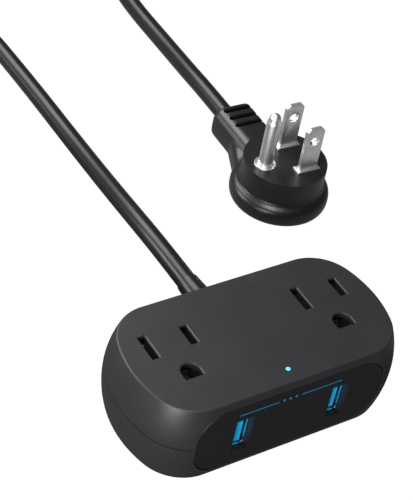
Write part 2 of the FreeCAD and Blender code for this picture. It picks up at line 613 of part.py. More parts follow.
def cord_strip_run():
    """Cord from the strip to the coil."""
    return tube(STRIP_ROUTE, CORD_D, "cord_strip_run")


def cord_plug_run():
    """Cord from the coil to the plug."""
    return tube(PLUG_ROUTE, CORD_D, "cord_plug_run")


def cord_coil():
    """Outer shape of the coiled cord, with a waist under the tie."""
    x, y = COIL_C
    section = Part.Face(rounded_rect(2 * COIL_HALF_W, COIL_H, 3.0, 0))
    section.rotate(V(0, 0, 0), X_AXIS, 90)
    section.translate(V(x + COIL_R, y, COIL_H / 2))
    ring = section.revolve(V(x, y, 0), Z_AXIS, 360)
    return cut(ring, [tie_block(TIE_T + 0.01).cut(tie_block(0))])


def tie_block(grow):
    """Block round the coil's section at its far side; its underside stays on the surface."""
    x, y = COIL_C
    half = COIL_HALF_W + 0.4
    low = TIE_T if grow == 0 else 0.0
    return box((x - TIE_W / 2, x + TIE_W / 2),
               (y + COIL_R - half + TIE_T - grow, y + COIL_R + half - TIE_T + grow),
               (low, COIL_H + 0.3 - TIE_T + grow))


def cord_tie():
    """Strap round the coil."""
    return tie_block(TIE_T).cut(tie_block(0))


# ---- plug ---------------------------------------------------------------------------------------
def plug_body():
    """Moulded plug: round face on a wider rounded base, and a side arm that holds the cord."""
    base = rod(0, PLUG_CY, 0, PLUG_BASE_H, PLUG_BASE_R)
    base = base.makeFillet(2.6, [e for e in base.Edges if e.Curve.TypeId == "Part::GeomCircle"])
    face = rod(0, PLUG_CY, 1, PLUG_H, PLUG_R)
    face = face.makeFillet(0.8, [e for e in face.Edges if e.BoundBox.ZMin > PLUG_H - 0.1])
    section = rounded_rect(ARM_TOP - ARM_BOTTOM, ARM_W, ARM_R, 0)
    section.rotate(V(0, 0, 0), Y_AXIS, 90)
    section.translate(V(ARM_END, PLUG_CY, (ARM_TOP + ARM_BOTTOM) / 2))
    arm = prism(section, V(-ARM_END - 6, 0, 0))
    grooves = [box((x - GROOVE_W / 2, x + GROOVE_W / 2), (PLUG_CY + GROOVE_START, PLUG_CY + ARM_W),
                   (ARM_TOP - GROOVE_DEPTH, ARM_TOP + 2)) for x in GROOVE_X]
    body = fuse([base, face, arm.cut(Part.makeCompound(grooves))])
    return cut(body, [rod(0, PLUG_CY, 5, BRIDGE_Z[1], BRIDGE_R),
                      box((-20, 8), (-11.5, 3.5), (1.8, BRIDGE_Z[0])),
                      blade_box(-1, 0.0, (14, 17)), blade_box(1, 0.0, (14, 17)),
                      rod(0, -GROUND_DY, 14, 17, PIN_R)])


def plug_bridge():
    """Hard insert inside the plug that holds the three prongs."""
    disc = rod(0, PLUG_CY, BRIDGE_Z[0], BRIDGE_Z[1], BRIDGE_R)
    return cut(disc, [blade_box(-1, 0, (4, 16)), blade_box(1, 0, (4, 16)),
                      rod(0, -GROUND_DY, 4, 16, PIN_R)])


def blade_box(side, grow, z):
    """Box of one blade's section between two heights; its width runs along the plug's y."""
    x = side * SLOT_DX
    return box((x - BLADE_T / 2 - grow, x + BLADE_T / 2 + grow),
               (-BLADE_W / 2 - grow, BLADE_W / 2 + grow), z)


def blade(side):
    """Flat blade with a chamfered tip and the usual round hole."""
    tip = PLUG_H + BLADE_L
    left, w, root = side * SLOT_DX - BLADE_T / 2, BLADE_W / 2, BRIDGE_Z[0]
    corners = [(-w, root), (w, root), (w, tip - 1.4), (w - 1.1, tip), (1.1 - w, tip), (-w, tip - 1.4),
               (-w, root)]
    flat = prism(Part.makePolygon([V(left, y, z) for y, z in corners]), V(BLADE_T, 0, 0))
    flat = flat.makeChamfer(0.35, [e for e in flat.Edges if e.BoundBox.ZMin > tip - 0.01
                                   and abs(e.tangentAt(e.FirstParameter).y) > 0.9])
    hole = Part.makeCylinder(BLADE_HOLE_R, 4, V(side * SLOT_DX - 2, 0, PLUG_H + BLADE_HOLE_Z), X_AXIS)
    return flat.cut(hole)


def ground_pin():
    """Round ground pin with a domed tip."""
    straight = PLUG_H + PIN_L - PIN_R
    return fuse([rod(0, -GROUND_DY, BRIDGE_Z[0], straight, PIN_R),
                 Part.makeSphere(PIN_R, V(0, -GROUND_DY, straight))])


def prong_collars():
    """Low collars round the prongs where they leave the face."""
    ring = rod(0, -GROUND_DY, PLUG_H, PLUG_H + COLLAR_H, COLLAR_R)
    ring = ring.cut(rod(0, -GROUND_DY, PLUG_H - 1, PLUG_H + 1, PIN_R))
    frames = [blade_box(s, FRAME_GROW, (PLUG_H, PLUG_H + FRAME_H)).cut(
        blade_box(s, 0, (PLUG_H - 1, PLUG_H + 1))) for s in (-1, 1)]
    return Part.makeCompound([ring] + frames)


def plug_crimps():
    """Crimped ends of the three wires, under the prongs."""
    places = [(-SLOT_DX, 0), (SLOT_DX, 0), (0, -9.8)]
    return Part.makeCompound([Part.makeCylinder(CRIMP_R, CRIMP_L, V(x - 3.6, y, WIRE_Z), X_AXIS)
                              for x, y in places])


def plug_wires():
    """Three wires from the cord's end to the crimps."""
    routes = [[(-20, -4.1), (-17, -4.1), (-13, 0), (-SLOT_DX - 3.6, 0)],
              [(-20, -6.3), (-8, -6.3), (-1.5, 0), (SLOT_DX - 3.6, 0)],
              [(-20, -8.5), (-15, -8.5), (-9, -9.8), (-3.6, -9.8)]]
    return Part.makeCompound([tube([(x, y, WIRE_Z) for x, y in r], WIRE_D) for r in routes])


# ---- all ----------------------------------------------------------------------------------------
def build_all():
    """Every sub-part by its node name."""
    parts = {
        "top_cover": top_cover(), "bottom_cover": bottom_cover(), "usb_front_panel": usb_front_panel(),
        "indicator_lens": indicator_lens(), "case_screws": case_screws(),
        "hot_bus": hot_bus(), "neutral_bus": neutral_bus(), "ground_bus": ground_bus(),
        "bus_insulator": bus_insulator(), "charger_board": charger_board(),
        "transformer_core": transformer_core(), "transformer_winding": transformer_winding(),
        "input_capacitor_left": input_capacitor(-5.3), "input_capacitor_right": input_capacitor(5.3),
        "output_capacitor": output_capacitor(), "power_inductor": power_inductor(),
        "bridge_rectifier": bridge_rectifier(), "controller_chip": controller_chip(),
        "board_fuse": board_fuse(), "indicator_lamp": indicator_lamp(),
        "cord_strain_relief": cord_strain_relief(), "cord_clamp": cord_clamp(),
        "cord_clamp_screws": cord_clamp_screws(), "hot_lead": hot_lead(),
        "neutral_lead": neutral_lead(), "ground_lead": ground_lead(), "board_leads": board_leads(),
        "cord_strip_run": cord_strip_run(), "cord_plug_run": cord_plug_run(),
        "cord_coil": cord_coil(), "cord_tie": cord_tie(),
    }
    for name, x in zip(("left", "right"), OUTLET_X):
        parts["outlet_carrier_" + name] = outlet_carrier(x)
        parts["neutral_contact_" + name] = blade_contact(x - SLOT_DX)
        parts["hot_contact_" + name] = blade_contact(x + SLOT_DX)
        parts["ground_contact_" + name] = ground_contact(x)
    for name, x in zip(("left", "right"), USB_X):
        parts["usb_shell_" + name] = usb_shell(x)
        parts["usb_tongue_" + name] = usb_tongue(x)
        parts["usb_pins_" + name] = usb_pins(x)
    plug = {
        "plug_body": plug_body(), "plug_bridge": plug_bridge(), "plug_hot_blade": blade(-1),
        "plug_neutral_blade": blade(1), "plug_ground_pin": ground_pin(),
        "plug_prong_collars": prong_collars(), "plug_crimps": plug_crimps(), "plug_wires": plug_wires(),
    }
    parts.update({name: place_plug(shape) for name, shape in plug.items()})
    return parts


os.makedirs("parts", exist_ok=True)
for part_name, part_shape in build_all().items():
    part_shape.exportStep("parts/" + part_name + ".step")
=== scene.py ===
"""Looks of a small power strip: two outlets, two USB-A ports, a cord and a flat right-angle plug.

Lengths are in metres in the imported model's own frame: +X runs along the strip, +Y points to the back,
where the cord leaves, and +Z is up. Each sub-assembly is a class that holds its sizes, builds its
pieces and dresses them; each finish is a frozen dataclass that builds one procedural material.
"""
import json
import logging
import math
from dataclasses import dataclass
from enum import Enum
from typing import Callable, Iterable, Sequence

import bmesh
import bpy
from mathutils import Matrix, Vector


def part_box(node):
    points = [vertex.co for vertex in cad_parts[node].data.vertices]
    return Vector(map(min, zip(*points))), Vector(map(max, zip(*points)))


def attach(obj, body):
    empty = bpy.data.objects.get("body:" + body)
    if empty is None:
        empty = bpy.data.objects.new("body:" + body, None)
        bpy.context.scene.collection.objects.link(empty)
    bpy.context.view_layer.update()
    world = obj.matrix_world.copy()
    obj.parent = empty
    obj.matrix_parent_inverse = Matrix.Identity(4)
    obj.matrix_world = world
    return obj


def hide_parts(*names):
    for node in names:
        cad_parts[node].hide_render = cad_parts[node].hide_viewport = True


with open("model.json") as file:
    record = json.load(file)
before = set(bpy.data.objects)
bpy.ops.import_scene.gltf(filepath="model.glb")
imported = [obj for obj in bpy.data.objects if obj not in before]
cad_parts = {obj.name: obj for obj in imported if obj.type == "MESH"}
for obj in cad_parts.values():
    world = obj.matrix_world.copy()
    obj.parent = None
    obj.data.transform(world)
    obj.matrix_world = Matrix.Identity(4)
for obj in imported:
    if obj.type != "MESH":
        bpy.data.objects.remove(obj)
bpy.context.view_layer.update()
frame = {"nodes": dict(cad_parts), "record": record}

LOG = logging.getLogger("power_strip")
ACROSS = Vector((1.0, 0.0, 0.0))
UPRIGHT = Vector((0.0, 0.0, 1.0))
# Metres within which a point counts as near a plane, and as on it.
NEAR = 0.0001
TOUCH = 0.00001

Colour = tuple[float, float, float]
Point = tuple[float, float, float]
Pair = tuple[float, float]
Socket = bpy.types.NodeSocket
Piece = bpy.types.Object
Edge = bmesh.types.BMEdge


class Source(Enum):
    """Where a pattern's coordinates come from."""

    OBJECT = "Object"
    UV = "UV"


class Selecting(Enum):
    """What is selected in edit mode."""

    VERTS = "VERT"
    EDGES = "EDGE"
    FACES = "FACE"


class Joining(Enum):
    """What a second solid does to the piece that it meets."""

    ADD = "UNION"
    CUT = "DIFFERENCE"


# ---- finishes -----------------------------------------------------------------------------------
def toned(colour: Colour, share: float) -> Colour:
    """Give a lighter or darker colour, no brighter than full."""
    return tuple(min(1.0, channel * share) for channel in colour)


class NodeSheet:
    """A new node material, with short calls to add and link its nodes."""

    def __init__(self, name: str) -> None:
        """Start an empty material with its shader and output.

        Args:
            name: the material's name.
        """
        self.material = bpy.data.materials.new(name)
        self.material.use_nodes = True
        self.nodes = self.material.node_tree.nodes
        self.links = self.material.node_tree.links
        self.nodes.clear()
        self.output = self.nodes.new("ShaderNodeOutputMaterial")
        self.shader = self.nodes.new("ShaderNodeBsdfPrincipled")
        self.links.new(self.shader.outputs["BSDF"], self.output.inputs["Surface"])

    def add(self, kind: str, **values: object) -> bpy.types.Node:
        """Add a node and set its properties.

        Args:
            kind: the node's type name.
            values: property names and their values.

        Returns:
            The new node.
        """
        node = self.nodes.new(kind)
        for key, value in values.items():
            setattr(node, key, value)
        return node

    def link(self, source: Socket, target: Socket) -> None:
        """Join an output to an input."""
        self.links.new(source, target)

    def feed(self, key: str, value: Socket | float | Colour) -> None:
        """Give the shader an input.

        Args:
            key: the input's name.
            value: an output to link, a number or a colour.
        """
        target = self.shader.inputs[key]
        if isinstance(value, Socket):
            self.link(value, target)
        else:
            target.default_value = (*value, 1.0) if isinstance(value, tuple) else value

    def total(self, first: Socket, second: Socket) -> Socket:
        """Add two values.

        Args:
            first: one value.
            second: the other.

        Returns:
            Their sum.
        """
        node = self.add("ShaderNodeMath", operation="ADD")
        self.link(first, node.inputs[0])
        self.link(second, node.inputs[1])
        return node.outputs["Value"]

    def coordinates(self, stretch: Point = (1.0, 1.0, 1.0),
                    source: Source = Source.OBJECT) -> Socket:
        """Give a pattern's coordinates, stretched on each axis.

        Args:
            stretch: scale on each axis.
            source: the piece's own place, or its UV map.

        Returns:
            The stretched coordinates.
        """
        mapping = self.add("ShaderNodeMapping")
        mapping.inputs["Scale"].default_value = stretch
        self.link(self.add("ShaderNodeTexCoord").outputs[source.value], mapping.inputs["Vector"])
        return mapping.outputs["Vector"]

    def noise(self, where: Socket, per_metre: float, detail: float = 3.0,
              roughness: float = 0.55) -> Socket:
        """Give a noise value.

        Args:
            where: coordinates to read.
            per_metre: how many grains there are in a metre.
            detail: octaves of the noise.
            roughness: weight of the fine octaves.

        Returns:
            The noise, about 0 to 1.
        """
        node = self.add("ShaderNodeTexNoise")
        node.inputs["Scale"].default_value = per_metre
        node.inputs["Detail"].default_value = detail
        node.inputs["Roughness"].default_value = roughness
        self.link(where, node.inputs["Vector"])
        return node.outputs["Fac"]

    def spread(self, value: Socket, low: float = 0.0, high: float = 1.0,
               from_low: float = 0.3, from_high: float = 0.7) -> Socket:
        """Map a value onto another range, clamped.

        Args:
            value: what to map.
            low: result at the start of the range.
            high: result at the end of the range.
            from_low: start of the range.
            from_high: end of the range.

        Returns:
            The mapped value.
        """
        node = self.add("ShaderNodeMapRange")
        for key, number in (("From Min", from_low), ("From Max", from_high),
                            ("To Min", low), ("To Max", high)):
            node.inputs[key].default_value = number
        self.link(value, node.inputs["Value"])
        return node.outputs["Result"]

    def blend(self, amount: Socket, first: Colour, second: Colour) -> Socket:
        """Mix two colours by a value.

        Args:
            amount: 0 for the first colour, 1 for the second.
            first: linear colour.
            second: linear colour.

        Returns:
            The mixed colour.
        """
        node = self.add("ShaderNodeMix", data_type="RGBA")
        node.inputs["A"].default_value = (*first, 1.0)
        node.inputs["B"].default_value = (*second, 1.0)
        self.link(amount, node.inputs["Factor"])
        return node.outputs["Result"]

    def bump(self, height: Socket, depth: float, strength: float = 1.0,
             under: Socket | None = None) -> Socket:
        """Turn a height into a shading normal.

        Args:
            height: height from 0 to 1.
            depth: metres that a height of 1 stands for.
            strength: how much of it is used.
            under: normal of another bump below this one.

        Returns:
            The bumped normal.
        """
        node = self.add("ShaderNodeBump")
        node.inputs["Distance"].default_value = depth
        node.inputs["Strength"].default_value = strength
        self.link(height, node.inputs["Height"])
        if under is not None:
            self.link(under, node.inputs["Normal"])
        return node.outputs["Normal"]


@dataclass(frozen=True)
class Moulded:
    """Moulded plastic or vinyl with a fine spark-eroded grain and faint handling marks."""

    name: str
    colour: Colour
    roughness: float = 0.5
    grain_per_metre: float = 3600.0
    grain_depth: float = 0.000012
    polish: float = 0.06
    sheen: float = 0.0
    specular: float = 0.5
    glow: float = 0.0
    patches_per_metre: float = 55.0
    darker: float = 0.93
    lighter: float = 1.07
    marks_per_metre: float = 900.0
    marks_stretch: Point = (1.0, 0.16, 1.0)
    marks_rough: float = 0.006
    sheen_roughness: float = 0.4

    def material(self) -> bpy.types.Material:
        """Build the finish.

        Returns:
            The material.
        """
        sheet = NodeSheet(self.name)
        where = sheet.coordinates()
        grain = sheet.noise(where, self.grain_per_metre, detail=2.0)
        patches = sheet.noise(where, self.patches_per_metre, detail=4.0, roughness=0.6)
        marks = sheet.noise(sheet.coordinates(self.marks_stretch), self.marks_per_metre, detail=2.0)
        tone = sheet.blend(sheet.spread(patches), toned(self.colour, self.darker),
                           toned(self.colour, self.lighter))
        sheet.feed("Base Color", tone)
        worn = sheet.spread(patches, self.roughness - self.polish, self.roughness + self.polish / 2)
        handled = sheet.spread(marks, -self.marks_rough, self.marks_rough)
        sheet.feed("Roughness", sheet.total(worn, handled))
        sheet.feed("Normal", sheet.bump(grain, self.grain_depth))
        sheet.feed("Specular IOR Level", self.specular)
        if self.sheen:
            sheet.feed("Sheen Weight", self.sheen)
            sheet.feed("Sheen Roughness", self.sheen_roughness)
        # Glow is painted light: it makes a part that is no lamp give off light.
        if self.glow:
            sheet.feed("Emission Color", self.colour)
            sheet.feed("Emission Strength", self.glow)
        return sheet.material


@dataclass(frozen=True)
class Metal:
    """Bare or plated metal, brushed or stamped along one axis."""

    name: str
    colour: Colour
    roughness: float = 0.25
    brush: Point = (1.0, 1.0, 0.05)
    scratch_depth: float = 0.000002
    tarnish: Colour | None = None
    scratch_rough: float = 0.05
    brush_per_metre: float = 5200.0
    cloud_per_metre: float = 160.0
    cloud_range: Pair = (0.45, 0.75)
    dulling: float = 0.86

    def material(self) -> bpy.types.Material:
        """Build the finish.

        Returns:
            The material.
        """
        sheet = NodeSheet(self.name)
        brushed = sheet.noise(sheet.coordinates(self.brush), self.brush_per_metre)
        cloud = sheet.noise(sheet.coordinates(), self.cloud_per_metre, detail=4.0, roughness=0.6)
        dull = self.tarnish or toned(self.colour, self.dulling)
        tone = sheet.blend(sheet.spread(cloud, 0.0, 1.0, *self.cloud_range), self.colour, dull)
        sheet.feed("Base Color", tone)
        scratched = sheet.spread(brushed, self.roughness, self.roughness + self.scratch_rough)
        sheet.feed("Roughness", sheet.total(scratched, sheet.spread(cloud, 0.0, self.scratch_rough)))
        if self.scratch_depth:
            sheet.feed("Normal", sheet.bump(brushed, self.scratch_depth))
        sheet.feed("Metallic", 1.0)
        return sheet.material


@dataclass(frozen=True)
class Jacket:
    """Extruded vinyl cord jacket: faint drawn lines along it, read from the cord's own UV map."""

    name: str
    colour: Colour
    roughness: float = 0.42
    specular: float = 0.3
    lines_stretch: Point = (3.0, 90.0, 1.0)
    lines_depth: float = 0.0000006
    grain_per_metre: float = 4200.0
    grain_depth: float = 0.0000004
    dust_per_metre: float = 70.0
    dust_range: Pair = (0.4, 0.75)
    dust_lighter: float = 1.1
    dust_rough: float = 0.03

    def material(self) -> bpy.types.Material:
        """Build the finish.

        Returns:
            The material.
        """
        sheet = NodeSheet(self.name)
        lines = sheet.noise(sheet.coordinates(self.lines_stretch, Source.UV), 1.0)
        grain = sheet.noise(sheet.coordinates(), self.grain_per_metre, detail=2.0)
        dust = sheet.noise(sheet.coordinates(), self.dust_per_metre, detail=5.0, roughness=0.65)
        tone = sheet.blend(sheet.spread(dust, 0.0, 1.0, *self.dust_range), self.colour,
                           toned(self.colour, self.dust_lighter))
        sheet.feed("Base Color", tone)
        sheet.feed("Roughness", sheet.spread(dust, self.roughness, self.roughness + self.dust_rough))
        low = sheet.bump(lines, self.lines_depth, strength=0.5)
        sheet.feed("Normal", sheet.bump(grain, self.grain_depth, under=low))
        sheet.feed("Specular IOR Level", self.specular)
        return sheet.material


@dataclass(frozen=True)
class HookLoop:
    """Hook-and-loop tape: short stiff loops over a woven ground."""

    name: str
    colour: Colour
    roughness: float = 0.92
    sheen: float = 0.5
    loops_per_metre: float = 1700.0
    loops_depth: float = 0.0003
    fuzz_per_metre: float = 2600.0
    fuzz_depth: float = 0.0001
    fuzz_lighter: float = 2.2

    def material(self) -> bpy.types.Material:
        """Build the finish.

        Returns:
            The material.
        """
        sheet = NodeSheet(self.name)
        where = sheet.coordinates()
        loops = sheet.add("ShaderNodeTexVoronoi", feature="SMOOTH_F1")
        loops.inputs["Scale"].default_value = self.loops_per_metre
        sheet.link(where, loops.inputs["Vector"])
        fuzz = sheet.noise(where, self.fuzz_per_metre, detail=4.0)
        tone = sheet.blend(sheet.spread(fuzz), self.colour,
                           toned(self.colour, self.fuzz_lighter))
        sheet.feed("Base Color", tone)
        sheet.feed("Roughness", self.roughness)
        sheet.feed("Sheen Weight", self.sheen)
        sheet.feed("Sheen Roughness", self.sheen)
        low = sheet.bump(loops.outputs["Distance"], self.loops_depth)
        sheet.feed("Normal", sheet.bump(fuzz, self.fuzz_depth, under=low))
        return sheet.material


@dataclass(frozen=True)
class PortPiece:
    """Piece inside a port: its own colour at the mouth, with painted shade darkening it towards its back,
    and painted light where it glows.
    """

    name: str
    colour: Colour
    shade_colour: Colour
    shade_starts_at: float
    shade_full_at: float
    metallic: float = 0.0
    glow: float = 0.0
    roughness: Pair = (0.25, 0.36)
    patches_per_metre: float = 900.0
    grain_per_metre: float = 5000.0
    grain_depth: float = 0.000002

    def material(self) -> bpy.types.Material:
        """Build the finish.

        Returns:
            The material.
        """
        sheet = NodeSheet(self.name)
        where = sheet.coordinates()
        # Painted shade: the colour darkens with depth into the port, along +Y.
        split = sheet.add("ShaderNodeSeparateXYZ")
        sheet.link(where, split.inputs["Vector"])
        depth = sheet.spread(split.outputs["Y"], 0.0, 1.0, self.shade_starts_at, self.shade_full_at)
        colour = sheet.blend(depth, self.colour, self.shade_colour)
        sheet.feed("Base Color", colour)
        patches = sheet.noise(where, self.patches_per_metre)
        sheet.feed("Roughness", sheet.spread(patches, *self.roughness))
        grain = sheet.noise(where, self.grain_per_metre)
        sheet.feed("Normal", sheet.bump(grain, self.grain_depth))
        sheet.feed("Metallic", self.metallic)
        # Glow here is painted light: the piece is no lamp.
        if self.glow:
            sheet.feed("Emission Color", colour)
            sheet.feed("Emission Strength", self.glow)
        return sheet.material


@dataclass(frozen=True)
class Glow:
    """Lit light guide: a bright middle under clear plastic."""

    name: str
    colour: Colour
    strength: float
    roughness: float = 0.15
    cloud_per_metre: float = 900.0
    lighter: float = 0.15

    def material(self) -> bpy.types.Material:
        """Build the finish.

        Returns:
            The material.
        """
        sheet = NodeSheet(self.name)
        cloud = sheet.noise(sheet.coordinates(), self.cloud_per_metre, detail=2.0)
        tone = sheet.blend(cloud, self.colour, tuple(min(1.0, c + self.lighter) for c in self.colour))
        sheet.feed("Base Color", tone)
        sheet.feed("Emission Color", self.colour)
        sheet.feed("Emission Strength", self.strength)
        sheet.feed("Roughness", self.roughness)
        return sheet.material


@dataclass(frozen=True)
class StageFloor:
    """Pale sweep under the object, seen in reflections as a dim card near the plug only."""

    name: str = "stage_floor"
    unlit: Colour = (0.03, 0.03, 0.03)
    roughness: float = 0.9
    glow: float = 1.0
    mirrored: Pair = (0.05, 0.30)
    card_towards: Point = (2.0, 1.0, 0.0)
    card_from: Pair = (0.115, 0.155)

    def material(self) -> bpy.types.Material:
        """Build the finish.

        Returns:
            The material.
        """
        sheet = NodeSheet(self.name)
        sheet.feed("Base Color", self.unlit)
        sheet.feed("Roughness", self.roughness)
        sheet.feed("Specular IOR Level", 0.0)
        sheet.feed("Emission Color", (1.0, 1.0, 1.0))
        along = sheet.add("ShaderNodeVectorMath", operation="DOT_PRODUCT")
        sheet.link(sheet.coordinates(), along.inputs[0])
        along.inputs[1].default_value = self.card_towards
        card = sheet.spread(along.outputs["Value"], *self.mirrored, *self.card_from)
        choose = sheet.add("ShaderNodeMix", data_type="FLOAT")
        sheet.link(sheet.add("ShaderNodeLightPath").outputs["Is Glossy Ray"], choose.inputs["Factor"])
        choose.inputs["A"].default_value = self.glow
        sheet.link(card, choose.inputs["B"])
        sheet.feed("Emission Strength", choose.outputs["Result"])
        sheet.material.cycles.emission_sampling = "NONE"
        return sheet.material


FINISHES = {finish.name: finish for finish in (
    Moulded("casing_plastic", (0.015, 0.0153, 0.0165), 0.44, 3300.0, 0.000005, 0.03, specular=0.45),
    Moulded("panel_plastic", (0.008, 0.0082, 0.009), 0.38, 4200.0, 0.000003, 0.03, specular=0.4),
    Jacket("cord_jacket", (0.008, 0.008, 0.0092), 0.3),
    Moulded("plug_vinyl", (0.008, 0.0083, 0.0095), 0.36, 3000.0, 0.0000005, 0.02, specular=0.45),
    Moulded("plug_insert", (0.05, 0.05, 0.05), 0.55),
    Metal("nickel_brass", (0.86, 0.86, 0.865), 0.34, scratch_depth=0.0, scratch_rough=0.03),
    Metal("contact_brass", (0.5, 0.4, 0.22), 0.34, (1.0, 0.06, 1.0), 0.000008, (0.34, 0.27, 0.15)),
    Metal("zinc_steel", (0.62, 0.62, 0.64), 0.32, (1.0, 1.0, 1.0), 0.00001),
    # Port pieces: painted shade darkens the steel shell and the blue tongue towards the back of the port.
    PortPiece("usb_steel", (0.92, 0.92, 0.94), (0.012, 0.012, 0.014), -0.0190, -0.0186, 1.0),
    # The blue tongue glows with painted light, which keeps it bright.
    PortPiece("usb_blue", (0.0, 0.40, 0.78), (0.0, 0.004, 0.012), -0.0160, -0.0130, glow=0.4),
    Moulded("carrier_plastic", (0.02, 0.02, 0.02), 0.6, 2600.0, 0.00002),
    Moulded("card_insulator", (0.62, 0.56, 0.42), 0.8, 1800.0, 0.00003, 0.03, 0.2),
    Moulded("board_green", (0.015, 0.16, 0.05), 0.3, 1500.0, 0.00002, 0.08),
    Moulded("ferrite", (0.05, 0.05, 0.052), 0.72, 2400.0, 0.00003),
    Moulded("winding_tape", (0.8, 0.62, 0.1), 0.34, 700.0, 0.00003, 0.08),
    Moulded("capacitor_sleeve", (0.03, 0.035, 0.11), 0.25, 900.0, 0.000006, 0.05),
    Moulded("component_epoxy", (0.025, 0.025, 0.027), 0.62, 2800.0, 0.00002),
    Moulded("fuse_body", (0.3, 0.16, 0.06), 0.4, 2000.0, 0.00001),
    Glow("lamp_lens", (0.02, 0.42, 1.0), 1.2),
    Moulded("lead_black", (0.02, 0.02, 0.02), 0.38, 2500.0, 0.000008),
    Moulded("lead_white", (0.78, 0.77, 0.73), 0.38, 2500.0, 0.000008),
    Moulded("lead_green", (0.03, 0.28, 0.07), 0.38, 2500.0, 0.000008),
    HookLoop("tie_strap", (0.02, 0.02, 0.021)),
)}
# The print glows with painted light, which keeps its blue bright.
PRINT_BLUE = Moulded("printed_rule", (0.0, 0.13, 0.26), 0.5, 5000.0, 0.000003, 0.03, glow=0.5)


class Dresser:
    """Makes each finish once and puts it on pieces and CAD nodes."""

    def __init__(self) -> None:
        """Start with no materials made."""
        self.made: dict[str, bpy.types.Material] = {}

    def get(self, slot: str) -> bpy.types.Material:
        """Give the material of a slot, made on first use.

        Args:
            slot: the record's material slot, or the printed rule.

        Returns:
            The material.
        """
        if slot not in self.made:
            finish = PRINT_BLUE if slot == PRINT_BLUE.name else FINISHES[slot]
            self.made[slot] = finish.material()
        return self.made[slot]

    def dress_nodes(self) -> None:
        """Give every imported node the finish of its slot."""
        for part in frame["record"]["subparts"]:
            node = frame["nodes"][part["node"]]
            material = self.get(part["material_slot"])
            for place in node.material_slots:
                place.material = material
            if not node.material_slots:
                node.data.materials.append(material)
            LOG.info("dressed %s in %s", node.name, material.name)


# ---- modelling ----------------------------------------------------------------------------------
def runs_along(edge: Edge, axis: Vector, share: float = 0.9) -> bool:
    """Tell whether an edge runs along an axis, or nearly."""
    return abs((edge.verts[0].co - edge.verts[1].co).normalized().dot(axis)) > share


